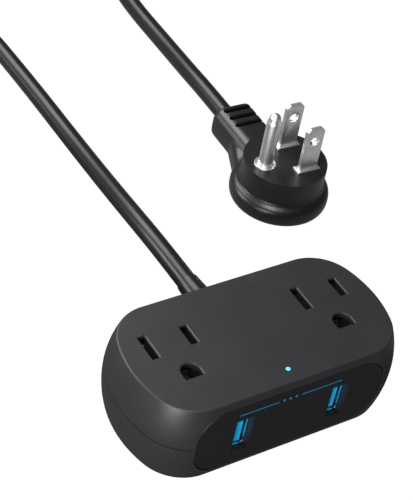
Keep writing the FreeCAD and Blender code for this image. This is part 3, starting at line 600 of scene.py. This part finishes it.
class Bench:
    """Short calls round the modelling operators."""

    @staticmethod
    def clear() -> None:
        """Deselect everything, in object mode."""
        if bpy.context.object and bpy.context.object.mode != "OBJECT":
            bpy.ops.object.mode_set(mode="OBJECT")
        bpy.ops.object.select_all(action="DESELECT")

    @staticmethod
    def settle() -> None:
        """Put the active object's place, turn and scale into its mesh."""
        bpy.ops.object.transform_apply(location=True, rotation=True, scale=True)

    @staticmethod
    def take(piece: Piece) -> None:
        """Select one object alone and make it active.

        Args:
            piece: the object.
        """
        Bench.clear()
        piece.select_set(True)
        bpy.context.view_layer.objects.active = piece

    @staticmethod
    def cylinder(name: str, radius: float, low: float, high: float, sides: int,
                 middle: Pair = (0.0, 0.0)) -> Piece:
        """Add an upright cylinder.

        Args:
            name: the piece's name.
            radius: its radius.
            low: height of its foot.
            high: height of its top.
            sides: number of its sides.
            middle: x and y of its axis.

        Returns:
            The new object.
        """
        Bench.clear()
        bpy.ops.mesh.primitive_cylinder_add(vertices=sides, radius=radius, depth=high - low,
                                            location=(*middle, (low + high) / 2))
        piece = bpy.context.object
        piece.name = name
        Bench.settle()
        return piece

    @staticmethod
    def block(name: str, low: Point, high: Point) -> Piece:
        """Add a box between two corners.

        Args:
            name: the piece's name.
            low: its lowest corner.
            high: its highest corner.

        Returns:
            The new object.
        """
        Bench.clear()
        bpy.ops.mesh.primitive_cube_add(size=1.0, location=[(a + b) / 2 for a, b in zip(low, high)])
        piece = bpy.context.object
        piece.name = name
        piece.scale = [b - a for a, b in zip(low, high)]
        Bench.settle()
        return piece

    @staticmethod
    def edit(piece: Piece, mode: Selecting) -> bmesh.types.BMesh:
        """Open a piece in edit mode with nothing selected.

        Args:
            piece: the mesh object.
            mode: what is selected.

        Returns:
            Its edit mesh.
        """
        Bench.take(piece)
        bpy.ops.object.mode_set(mode="EDIT")
        bpy.ops.mesh.select_mode(type=mode.value)
        bpy.ops.mesh.select_all(action="DESELECT")
        return bmesh.from_edit_mesh(piece.data)

    @staticmethod
    def pick(piece: Piece, mesh: bmesh.types.BMesh, elements: Iterable) -> None:
        """Select these elements in the open edit mesh.

        Args:
            piece: the mesh object.
            mesh: its edit mesh.
            elements: the vertices, edges or faces to select.
        """
        for element in elements:
            element.select_set(True)
        mesh.select_flush_mode()
        bmesh.update_edit_mesh(piece.data)

    @staticmethod
    def close() -> None:
        """Go back to object mode."""
        bpy.ops.object.mode_set(mode="OBJECT")

    @staticmethod
    def bevel(piece: Piece, width: float, segments: int, keep: Callable) -> None:
        """Bevel the edges that a test keeps.

        Args:
            piece: the mesh object.
            width: bevel width.
            segments: number of its segments.
            keep: called with an edge; true to bevel it.
        """
        mesh = Bench.edit(piece, Selecting.EDGES)
        Bench.pick(piece, mesh, [e for e in mesh.edges if keep(e)])
        bpy.ops.mesh.bevel(offset=width, offset_type="OFFSET", segments=segments, profile=0.5,
                           clamp_overlap=True)
        Bench.close()

    @staticmethod
    def modify(piece: Piece, kind: str, **values: object) -> None:
        """Add a modifier and apply it.

        Args:
            piece: the mesh object.
            kind: the modifier's type name.
            values: property names and their values.
        """
        Bench.take(piece)
        modifier = piece.modifiers.new(kind.lower(), kind)
        for key, value in values.items():
            setattr(modifier, key, value)
        bpy.ops.object.modifier_apply(modifier=modifier.name)

    @staticmethod
    def combine(piece: Piece, other: Piece, joining: Joining) -> None:
        """Add another solid to a piece, or cut the piece with it, and remove the other."""
        Bench.modify(piece, "BOOLEAN", operation=joining.value, object=other, solver="EXACT")
        bpy.data.objects.remove(other)

    @staticmethod
    def finish(piece: Piece, dresser: Dresser, slot: str, smooth_degrees: float = 35.0,
               print_slot: str | None = None) -> None:
        """Clean a mesh piece, shade it, dress it and let it ride.

        Args:
            piece: the mesh object.
            dresser: gives the materials.
            slot: the record's material slot.
            smooth_degrees: edges sharper than this stay sharp.
            print_slot: finish to wear instead of the slot's own.
        """
        Bench.edit(piece, Selecting.VERTS)
        bpy.ops.mesh.select_all(action="SELECT")
        bpy.ops.mesh.remove_doubles(threshold=TOUCH / 2)
        bpy.ops.mesh.normals_make_consistent(inside=False)
        Bench.close()
        bpy.ops.object.shade_smooth_by_angle(angle=math.radians(smooth_degrees))
        piece.data.materials.clear()
        piece.data.materials.append(dresser.get(print_slot or slot))
        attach(piece, "root")
        LOG.info("made %s: %d faces", piece.name, len(piece.data.polygons))

    @staticmethod
    def turned(name: str, profile: Sequence[Pair], sides: int = 96) -> Piece:
        """Turn a closed solid about Z by drawing a disc up through a profile.

        Args:
            name: the piece's name.
            profile: (radius, height) from foot to top.
            sides: number of its sides.

        Returns:
            The new object.
        """
        Bench.clear()
        radius, height = profile[0]
        bpy.ops.mesh.primitive_circle_add(vertices=sides, radius=radius, fill_type="NGON",
                                          location=(0.0, 0.0, height))
        piece = bpy.context.object
        piece.name = name
        Bench.settle()
        Bench.edit(piece, Selecting.FACES)
        bpy.ops.mesh.select_all(action="SELECT")
        for next_radius, next_height in profile[1:]:
            bpy.ops.mesh.extrude_region_move(
                TRANSFORM_OT_translate={"value": (0.0, 0.0, next_height - height)})
            ratio = next_radius / radius
            bpy.ops.transform.resize(value=(ratio, ratio, 1.0), center_override=(0.0, 0.0, next_height))
            radius, height = next_radius, next_height
        Bench.close()
        return piece

    @staticmethod
    def place(piece: Piece, matrix: Matrix) -> None:
        """Move a mesh piece by a matrix that ends up in its mesh.

        Args:
            piece: the mesh object.
            matrix: the move.
        """
        Bench.take(piece)
        piece.matrix_world = matrix @ piece.matrix_world
        Bench.settle()

    @staticmethod
    def join(pieces: Sequence[Piece]) -> Piece:
        """Join mesh pieces into the first.

        Args:
            pieces: the mesh objects.

        Returns:
            The first of them, which now holds all.
        """
        Bench.take(pieces[0])
        for other in pieces[1:]:
            other.select_set(True)
        bpy.ops.object.join()
        return pieces[0]


# ---- stage --------------------------------------------------------------------------------------
@dataclass(frozen=True)
class SoftLight:
    """A square soft light, the point that it faces, its side and its power in watts."""

    name: str
    place: Point
    aim: Point
    size: float
    power: float


@dataclass
class Stage:
    """Camera, pale floor, weak even surround and four soft lights."""

    camera_place: Point = (-0.2186, -0.2418, 0.3420)
    camera_aim: Point = (0.0220, 0.0564, 0.0)
    camera_roll: float = math.radians(11.76)
    lens_mm: float = 118.2
    sensor_mm: float = 36.0
    floor_radius: float = 6.0
    world_level: float = 0.12
    floor_drop: float = 0.0001
    lights: tuple[SoftLight, ...] = (
        SoftLight("key_light", (-0.48, -0.30, 0.13), (-0.02, 0.0, 0.02), 0.26, 5.5),
        SoftLight("side_light", (-0.45, 0.38, 0.20), (0.02, 0.08, 0.01), 0.22, 1.9),
        SoftLight("back_light", (-0.06, 0.46, 0.44), (-0.03, 0.03, 0.01), 0.34, 3.2),
        SoftLight("rim_light", (-0.10, -0.04, 0.48), (0.0, 0.0, 0.02), 0.12, 1.3))

    def build(self) -> None:
        """Make the camera, the floor, the world and the lights."""
        self.camera()
        self.floor()
        self.world()
        for soft in self.lights:
            self.light(soft)
        bpy.context.scene.view_settings.view_transform = "Standard"

    def camera(self) -> None:
        """Add the camera at the object's viewing angle."""
        Bench.clear()
        bpy.ops.object.camera_add(location=self.camera_place)
        camera = bpy.context.object
        camera.name = "camera"
        aim = Vector(self.camera_aim) - Vector(self.camera_place)
        turn = aim.to_track_quat("-Z", "Y").to_matrix() @ Matrix.Rotation(self.camera_roll, 3, "Z")
        camera.rotation_euler = turn.to_euler()
        camera.data.lens = self.lens_mm
        camera.data.sensor_width = self.sensor_mm
        bpy.context.scene.camera = camera

    def floor(self) -> None:
        """Add the floor just under the resting height."""
        Bench.clear()
        bpy.ops.mesh.primitive_circle_add(vertices=64, radius=self.floor_radius, fill_type="NGON",
                                          location=(0.0, 0.0, -self.floor_drop))
        floor = bpy.context.object
        floor.name = "floor"
        floor.data.materials.append(StageFloor().material())
        floor.visible_diffuse = False

    def world(self) -> None:
        """Light everything a little from all sides."""
        world = bpy.data.worlds.new("soft_surround")
        world.use_nodes = True
        background = world.node_tree.nodes["Background"]
        background.inputs["Color"].default_value = (1.0, 1.0, 1.0, 1.0)
        background.inputs["Strength"].default_value = self.world_level
        bpy.context.scene.world = world

    @staticmethod
    def light(soft: SoftLight) -> None:
        """Stand a light in its place.

        Args:
            soft: the light's place and values.
        """
        Bench.clear()
        bpy.ops.object.light_add(type="AREA", location=soft.place)
        light = bpy.context.object
        light.name = soft.name
        light.data.size = soft.size
        light.data.energy = soft.power
        light.rotation_euler = (Vector(soft.aim) - Vector(soft.place)).to_track_quat("-Z", "Y").to_euler()
        light.visible_camera = False


# ---- cord ---------------------------------------------------------------------------------------
@dataclass
class MainsCord:
    """One cord from the casing's back, through a two-layer coil, to the plug's arm."""

    diameter: float = 0.0062
    length: float = 1.52
    coil_middle: Pair = (0.038, 0.250)
    coil_outer: float = 0.0440
    coil_inner: float = 0.0251
    top_outer: float = 0.0410
    down_turns: float = 3.0
    climb_turns: float = 0.3
    turns: float = 5.5
    per_turn: int = 16
    low: float = 0.0031
    strap_lift: float = 0.0013
    strap_reach: float = 0.35
    smoothness: int = 6
    strip_route: tuple[Point, ...] = (
        (0.0, 0.0350, 0.0133), (0.0, 0.0490, 0.0133), (0.0003, 0.0620, 0.0124), (0.0016, 0.0780, 0.0097),
        (0.0036, 0.0980, 0.0061), (0.0050, 0.1200, 0.0037), (0.0053, 0.1480, 0.0031),
        (0.0042, 0.1840, 0.0031), (-0.0012, 0.2140, 0.0031), (-0.0060, 0.2400, 0.0031))
    plug_route: tuple[Point, ...] = (
        (0.0790, 0.2430, 0.0093), (0.0789, 0.2330, 0.0093), (0.0769, 0.2200, 0.0076),
        (0.0700, 0.2040, 0.0043), (0.0636, 0.1900, 0.0031), (0.0622, 0.1740, 0.0031),
        (0.0618, 0.1580, 0.0034), (0.0608, 0.1430, 0.0044), (0.0597, 0.1310, 0.0056),
        (0.05913, 0.11961, 0.00635), (0.05861, 0.10462, 0.00635))

    def coil_points(self) -> list[Point]:
        """Work out the coil's control points: inwards on the floor, then outwards on top.

        Returns:
            The points, from the entry at the left to the exit at the right.
        """
        points = []
        step = 2 * math.pi / self.per_turn
        for i in range(round(self.turns * self.per_turn)):
            turn = (i + 0.5) / self.per_turn
            angle = math.pi - (i + 0.5) * step
            inward = min(turn / self.down_turns, 1.0)
            above = max(turn - self.down_turns - self.climb_turns, 0.0)
            outward = above / (self.turns - self.down_turns - self.climb_turns)
            radius = (self.coil_outer + (self.coil_inner - self.coil_outer) * inward
                      + (self.top_outer - self.coil_inner) * outward)
            radius /= math.cos(step / 2)
            climb = min(max((turn - self.down_turns) / self.climb_turns, 0.0), 1.0)
            off_strap = (angle - math.pi / 2 + math.pi) % (2 * math.pi) - math.pi
            lift = self.strap_lift * math.exp(-(off_strap / self.strap_reach) ** 2)
            height = self.low + self.diameter * climb * climb * (3 - 2 * climb) + lift
            points.append((self.coil_middle[0] + radius * math.cos(angle),
                           self.coil_middle[1] + radius * math.sin(angle), height))
        return points

    def build(self, dresser: Dresser) -> Piece:
        """Make the cord as one open spline.

        Args:
            dresser: gives the materials.

        Returns:
            The cord.
        """
        points = [*self.strip_route, *self.coil_points(), *self.plug_route]
        curve = bpy.data.curves.new("mains_cord", "CURVE")
        curve.dimensions = "3D"
        curve.resolution_u = self.smoothness
        curve.bevel_depth = self.diameter / 2
        curve.bevel_resolution = self.smoothness
        curve.use_fill_caps = True
        spline = curve.splines.new("NURBS")
        spline.points.add(len(points) - 1)
        for place, point in zip(spline.points, points):
            place.co = (*point, 1.0)
        spline.order_u = 3
        spline.use_endpoint_u = True
        cord = bpy.data.objects.new("mains_cord", curve)
        bpy.context.scene.collection.objects.link(cord)
        curve.materials.append(dresser.get("cord_jacket"))
        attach(cord, "root")
        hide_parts("cord_strip_run", "cord_plug_run", "cord_coil")
        LOG.info("made %s: %d points", cord.name, len(points))
        return cord


@dataclass
class StrainRelief:
    """Plain tapered sleeve where the cord leaves the back."""

    grip_radius: float = 0.0039
    flange_radius: float = 0.0060
    neck_radius: float = 0.0041
    tail_radius: float = 0.0034
    flange: Pair = (0.0182, 0.0196)
    taper_start: float = 0.0236
    edge: float = 0.0003
    sides: int = 64
    smooth_degrees: float = 40.0

    def profile(self, start: float, end: float) -> list[Pair]:
        """Work out radius against distance along the sleeve.

        Args:
            start: inner end of the sleeve.
            end: outer end of the sleeve.

        Returns:
            (radius, distance) from the inner end.
        """
        near, far = self.flange
        return [(self.grip_radius, start), (self.grip_radius, near), (self.flange_radius, near),
                (self.flange_radius, far), (self.neck_radius, far), (self.neck_radius, self.taper_start),
                (self.tail_radius, end - self.edge), (self.tail_radius - self.edge, end)]

    def build(self, dresser: Dresser) -> Piece:
        """Turn the sleeve and lay it along the cord's way out.

        Args:
            dresser: gives the materials.

        Returns:
            The sleeve.
        """
        low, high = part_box("cord_strain_relief")
        sleeve = Bench.turned("cord_sleeve", self.profile(low.y, high.y), self.sides)
        middle = (low + high) / 2
        laid = Matrix.Rotation(-math.pi / 2, 4, "X")
        Bench.place(sleeve, Matrix.Translation((middle.x, 0.0, middle.z)) @ laid)
        Bench.finish(sleeve, dresser, "cord_jacket", self.smooth_degrees)
        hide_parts("cord_strain_relief")
        return sleeve


@dataclass
class CoilStrap:
    """Hook-and-loop strap round the coil, with its tail lapped over the top."""

    width: float = 0.012
    thickness: float = 0.0012
    corner: float = 0.0045
    top: float = 0.0151
    tail_share: float = 0.62
    tail_rise: float = 0.0010
    tail_corner: float = 0.0028
    smooth_degrees: float = 30.0

    def build(self, dresser: Dresser) -> Piece:
        """Make the band and its tail round the coil's far side.

        Args:
            dresser: gives the materials.

        Returns:
            The strap.
        """
        low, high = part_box("cord_tie")
        x = (low.x + high.x) / 2
        half = self.width / 2
        band = Bench.block("coil_strap", (x - half, low.y, 0.0), (x + half, high.y, self.top))
        Bench.bevel(band, self.corner, 8, lambda e: runs_along(e, ACROSS))
        mesh = Bench.edit(band, Selecting.FACES)
        Bench.pick(band, mesh, [f for f in mesh.faces if abs(f.normal.x) > 0.9])
        bpy.ops.mesh.delete(type="FACE")
        Bench.close()
        Bench.modify(band, "SOLIDIFY", thickness=self.thickness, offset=-1.0)
        reach = (high.y - low.y) * self.tail_share
        tail = Bench.block("strap_tail", (x - half, high.y - self.corner - reach, self.top - NEAR),
                           (x + half, high.y - self.corner, self.top + self.tail_rise))
        Bench.bevel(tail, self.tail_corner, 6, lambda e: runs_along(e, UPRIGHT)
                    and e.verts[0].co.y < high.y - self.corner - reach / 2)
        strap = Bench.join([band, tail])
        Bench.finish(strap, dresser, "tie_strap", self.smooth_degrees)
        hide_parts("cord_tie")
        return strap


# ---- plug ---------------------------------------------------------------------------------------
@dataclass
class PlugMoulding:
    """Soft moulded plug: round face on a wider foot, blended into a grooved arm.

    Its own frame has the blades upright on the line y = 0 and the arm along -x.
    """

    height: float = 0.0160
    face_radius: float = 0.0138
    foot_radius: float = 0.0164
    foot_height: float = 0.0072
    foot_corner: float = 0.0026
    corner_steps: int = 8
    waist_flare: float = 0.0001
    waist: Pair = (0.0002, 0.0014)
    spare_height: float = 0.0012
    sides: int = 160
    middle_y: float = -0.0041
    arm_end: float = -0.0345
    arm_root: float = -0.006
    arm_half: float = 0.0070
    arm_top: float = 0.0124
    arm_low: float = 0.0003
    arm_corner: float = 0.0042
    end_edge: float = 0.0009
    web_x: Pair = (-0.0215, -0.004)
    web_top: float = 0.0104
    web_spread: Point = (1.0, 2.0, 0.8)
    web_corner: float = 0.0030
    groove_x: tuple[float, ...] = (-0.0318, -0.0279, -0.0240)
    groove_half: float = 0.00085
    groove_depth: float = 0.0018
    groove_start: float = -0.0084
    groove_end: float = 0.0060
    groove_sides: int = 32
    flare_drop: float = 0.0003
    flares: tuple[Pair, ...] = ((0.0004, 0.00032), (0.003, 0.0))
    voxel: float = 0.00036
    smoothing: int = 40
    rim: float = 0.00045
    smooth_degrees: float = 42.0

    def placing(self) -> Matrix:
        """Work out the plug's place from its prongs.

        Returns:
            The matrix from the plug's own frame to the model's.
        """
        middles = {}
        for node in ("plug_hot_blade", "plug_neutral_blade", "plug_ground_pin"):
            low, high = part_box(node)
            middles[node] = (low + high) / 2
        origin = (middles["plug_hot_blade"] + middles["plug_neutral_blade"]) / 2
        up = origin - middles["plug_ground_pin"]
        turn = math.atan2(up.y, up.x) - math.pi / 2
        return Matrix.Translation((origin.x, origin.y, 0.0)) @ Matrix.Rotation(turn, 4, "Z")

    def body(self) -> Piece:
        """Turn the round body up through foot, waist and face.

        Returns:
            The body, with spare height over the face.
        """
        foot, radius, corner = self.foot_height, self.foot_radius, self.foot_corner
        angles = [math.pi / 2 * step / self.corner_steps for step in range(self.corner_steps + 1)]
        rows = [(radius - corner + corner * math.sin(a), corner * (1 - math.cos(a))) for a in angles]
        rows += [(radius - corner + corner * math.cos(a), foot - corner + corner * math.sin(a))
                 for a in angles]
        rows += [(self.face_radius + self.waist_flare, foot + self.waist[0]),
                 (self.face_radius, foot + self.waist[1]),
                 (self.face_radius, self.height + self.spare_height)]
        body = Bench.turned("plug_moulding", rows, self.sides)
        Bench.place(body, Matrix.Translation((0.0, self.middle_y, 0.0)))
        return body

    def arm(self) -> Piece:
        """Block out the straight arm with rounded long edges.

        Returns:
            The arm.
        """
        left, right = self.middle_y - self.arm_half, self.middle_y + self.arm_half
        arm = Bench.block("plug_arm", (self.arm_end, left, self.arm_low),
                          (self.arm_root, right, self.arm_top))
        Bench.bevel(arm, self.arm_corner, 8, lambda e: runs_along(e, ACROSS)
                    and e.verts[0].co.y < self.middle_y)
        Bench.bevel(arm, self.arm_corner / 2, 6, lambda e: runs_along(e, ACROSS)
                    and min(v.co.y for v in e.verts) > right - NEAR)
        Bench.bevel(arm, self.end_edge, 3, lambda e: all(v.co.x < self.arm_end + NEAR for v in e.verts))
        return arm

    def web(self) -> Piece:
        """Block out the wedge that widens from the arm to the foot.

        Returns:
            The wedge.
        """
        start, end = self.web_x
        web = Bench.block("plug_web", (start, self.middle_y - self.arm_half, self.arm_low),
                          (end, self.middle_y + self.arm_half, self.web_top))
        mesh = Bench.edit(web, Selecting.FACES)
        Bench.pick(web, mesh, [f for f in mesh.faces if f.normal.x > 0.9])
        bpy.ops.transform.resize(value=self.web_spread,
                                 center_override=(end, self.middle_y, self.arm_low))
        Bench.close()
        Bench.bevel(web, self.web_corner, 6, lambda e: runs_along(e, ACROSS, 0.6))
        return web

    def groove_cutter(self, x: float) -> Piece:
        """Make the cutter of one groove: round at the left, open at the right, flared at the top.

        Args:
            x: the groove's middle line.

        Returns:
            The cutter.
        """
        start = self.groove_start + self.groove_half
        length = self.groove_end - start
        low = self.arm_top - self.groove_depth
        cutter = Bench.cylinder("groove_cutter", self.groove_half, low, self.arm_top - self.flare_drop,
                                self.groove_sides, (x, start))
        mesh = Bench.edit(cutter, Selecting.VERTS)
        Bench.pick(cutter, mesh, [v for v in mesh.verts if v.co.y > start + NEAR])
        bpy.ops.transform.translate(value=(0.0, length, 0.0))
        mesh = Bench.edit(cutter, Selecting.FACES)
        Bench.pick(cutter, mesh, [f for f in mesh.faces if f.normal.z > 0.9])
        for rise, flare in self.flares:
            bpy.ops.mesh.extrude_region_move(TRANSFORM_OT_translate={"value": (0.0, 0.0, rise)})
            bpy.ops.transform.resize(
                value=(1 + flare / self.groove_half, 1 + flare / (length / 2 + self.groove_half), 1.0),
                center_override=(x, start + length / 2, low))
        Bench.close()
        return cutter

    def build(self, dresser: Dresser) -> Piece:
        """Blend the blocks, cut the grooves, face the top and lay the plug down.

        Args:
            dresser: gives the materials.

        Returns:
            The moulding.
        """
        body = self.body()
        for block in (self.arm(), self.web()):
            Bench.combine(body, block, Joining.ADD)
        Bench.modify(body, "REMESH", mode="VOXEL", voxel_size=self.voxel, use_smooth_shade=True)
        Bench.modify(body, "SMOOTH", factor=0.5, iterations=self.smoothing)
        for x in self.groove_x:
            Bench.combine(body, self.groove_cutter(x), Joining.CUT)
        Bench.edit(body, Selecting.EDGES)
        bpy.ops.mesh.select_all(action="SELECT")
        bpy.ops.mesh.bisect(plane_co=(0.0, 0.0, self.height), plane_no=(0.0, 0.0, 1.0), use_fill=True,
                            clear_outer=True)
        Bench.close()
        Bench.bevel(body, self.rim, 3, self.on_rim)
        Bench.place(body, self.placing())
        Bench.finish(body, dresser, "plug_vinyl", self.smooth_degrees)
        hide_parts("plug_body")
        return body

    def on_rim(self, edge: Edge) -> bool:
        """Tell whether an edge is on the rim of the face."""
        level = all(abs(v.co.z - self.height) < TOUCH for v in edge.verts)
        return level and any(abs(f.normal.z) < 0.5 for f in edge.link_faces)


@dataclass
class Prongs:
    """Nickel plated blades and ground pin, with a bright collar round each, in the plug's own frame."""

    face: float = 0.0160
    root: float = 0.0154
    blade_x: float = 0.00635
    blade_half_thick: float = 0.00075
    blade_half_wide: float = 0.003175
    blade_tip: float = 0.0326
    tip_corner: float = 0.0012
    tip_bevel: float = 0.00034
    hole_radius: float = 0.0016
    hole_height: float = 0.0274
    hole_bevel: float = 0.00024
    hole_reach: float = 0.004
    hole_sides: int = 48
    pin_y: float = -0.01189
    pin_radius: float = 0.002375
    pin_tip: float = 0.0362
    neck_radius: float = 0.0019
    neck_drop: float = 0.0020
    shoulder_drop: float = 0.0034
    shoulder_share: float = 0.97
    shoulder_rise: float = 0.0003
    tip_steps: int = 10
    steps_to_top: float = 9.6
    collar_margin: float = 0.0010
    collar_rise: float = 0.00045
    collar_edge: float = 0.0002
    frame_edge: float = 0.00018
    ring_radius: float = 0.0036
    ring_gap: float = 0.0001
    ring_slope: Pair = (0.0003, 0.0003)
    smooth_degrees: float = 32.0

    def blade(self, name: str, x: float) -> Piece:
        """Make one blade with a chamfered tip and a bevelled hole.

        Args:
            name: the piece's name.
            x: the blade's middle plane.

        Returns:
            The blade.
        """
        thick, wide, tip = self.blade_half_thick, self.blade_half_wide, self.blade_tip
        blade = Bench.block(name, (x - thick, -wide, self.root), (x + thick, wide, tip))
        Bench.bevel(blade, self.tip_corner, 1, lambda e: all(v.co.z > tip - TOUCH for v in e.verts)
                    and abs(e.verts[0].co.x - e.verts[1].co.x) > thick)
        above = tip - self.tip_corner - TOUCH
        Bench.bevel(blade, self.tip_bevel, 2, lambda e: all(v.co.z > above for v in e.verts)
                    and abs(e.verts[0].co.x - e.verts[1].co.x) < TOUCH)
        hole = Bench.cylinder("blade_hole", self.hole_radius, -self.hole_reach, self.hole_reach,
                              self.hole_sides)
        laid = Matrix.Rotation(math.pi / 2, 4, "Y")
        Bench.place(hole, Matrix.Translation((x, 0.0, self.hole_height)) @ laid)
        Bench.combine(blade, hole, Joining.CUT)
        Bench.bevel(blade, self.hole_bevel, 2, lambda e: self.round_hole(e, x))
        return blade

    def round_hole(self, edge: Edge, x: float) -> bool:
        """Tell whether an edge is on a rim of the blade's hole.

        Args:
            edge: the edge.
            x: the blade's middle plane.

        Returns:
            True on either rim.
        """
        first, second = (v.co for v in edge.verts)
        near = all(abs(math.hypot(place.y, place.z - self.hole_height) - self.hole_radius) < 2 * TOUCH
                   for place in (first, second))
        outside = abs(abs(first.x - x) - self.blade_half_thick) < TOUCH
        return near and outside and abs(first.x - second.x) < TOUCH

    def pin(self) -> Piece:
        """Turn the ground pin with its necked round tip.

        Returns:
            The pin.
        """
        radius, shoulder = self.pin_radius, self.pin_tip - self.shoulder_drop
        rows = [(radius, self.root), (radius, shoulder),
                (radius * self.shoulder_share, shoulder + self.shoulder_rise)]
        for step in range(self.tip_steps):
            angle = math.pi / 2 * step / self.steps_to_top
            rows.append((self.neck_radius * math.cos(angle),
                         self.pin_tip - self.neck_drop * (1 - math.sin(angle))))
        pin = Bench.turned("prong_ground", rows)
        Bench.place(pin, Matrix.Translation((0.0, self.pin_y, 0.0)))
        return pin

    def collars(self) -> Piece:
        """Make the ring and the two frames round the prongs' roots.

        Returns:
            The collars as one piece.
        """
        top = self.face + self.collar_rise
        inwards, downwards = self.ring_slope
        ring = Bench.turned("prong_collars", [
            (self.ring_radius, self.root), (self.ring_radius, top - self.collar_edge),
            (self.ring_radius - self.collar_edge, top), (self.pin_radius + inwards, top),
            (self.pin_radius + self.ring_gap, top - downwards)])
        Bench.place(ring, Matrix.Translation((0.0, self.pin_y, 0.0)))
        frames = [ring]
        wide = self.blade_half_wide + self.collar_margin
        thick = self.blade_half_thick + self.collar_margin
        for x in (-self.blade_x, self.blade_x):
            plate = Bench.block("prong_frame", (x - thick, -wide, self.root), (x + thick, wide, top))
            Bench.bevel(plate, self.frame_edge, 2, lambda e: all(v.co.z > top - TOUCH for v in e.verts))
            frames.append(plate)
        return Bench.join(frames)

    def build(self, dresser: Dresser, placing: Matrix) -> list[Piece]:
        """Make the prongs and collars and stand them on the plug.

        Args:
            dresser: gives the materials.
            placing: the matrix from the plug's own frame to the model's.

        Returns:
            The two blades, the pin and the collars.
        """
        made = {"plug_hot_blade": self.blade("prong_hot", -self.blade_x),
                "plug_neutral_blade": self.blade("prong_neutral", self.blade_x),
                "plug_ground_pin": self.pin(), "plug_prong_collars": self.collars()}
        for node, piece in made.items():
            Bench.place(piece, placing)
            Bench.finish(piece, dresser, "nickel_brass", self.smooth_degrees)
            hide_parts(node)
        return list(made.values())


# ---- print --------------------------------------------------------------------------------------
@dataclass
class PanelPrint:
    """Two printed rules over the ports, with three dots between them."""

    rules_x: tuple[Pair, ...] = ((-0.0181, -0.0056), (0.0019, 0.0153))
    rule_height: float = 0.00026
    level: float = 0.02125
    proud: float = 0.00003
    sunk: float = 0.0002
    dot_radius: float = 0.0004
    dot_pitch: float = 0.0020
    dots_x: float = -0.00185
    dot_sides: int = 24
    smooth_degrees: float = 30.0

    def build(self, dresser: Dresser) -> None:
        """Make the rules and dots just proud of the panel.

        Args:
            dresser: gives the materials.
        """
        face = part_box("usb_front_panel")[0].y
        half = self.rule_height / 2
        pieces = [Bench.block("printed_rules", (start, face - self.proud, self.level - half),
                              (end, face + self.sunk, self.level + half)) for start, end in self.rules_x]
        laid = Matrix.Rotation(math.pi / 2, 4, "X")
        for index in (-1, 0, 1):
            dot = Bench.cylinder("printed_dot", self.dot_radius, -self.sunk, self.proud, self.dot_sides)
            place = (self.dots_x + index * self.dot_pitch, face, self.level)
            Bench.place(dot, Matrix.Translation(place) @ laid)
            pieces.append(dot)
        rules = Bench.join(pieces)
        Bench.finish(rules, dresser, "usb_blue", self.smooth_degrees, PRINT_BLUE.name)


def main() -> None:
    """Build the stage and every piece in order."""
    logging.basicConfig(level=logging.INFO, format="%(name)s: %(message)s")
    Stage().build()
    dresser = Dresser()
    cord_maker = MainsCord()
    cord = cord_maker.build(dresser)
    dresser.dress_nodes()
    sleeve = StrainRelief().build(dresser)
    strap = CoilStrap().build(dresser)
    moulding_maker = PlugMoulding()
    moulding = moulding_maker.build(dresser)
    prongs = Prongs().build(dresser, moulding_maker.placing())
    PanelPrint().build(dresser)


if __name__ == "__main__":
    main()
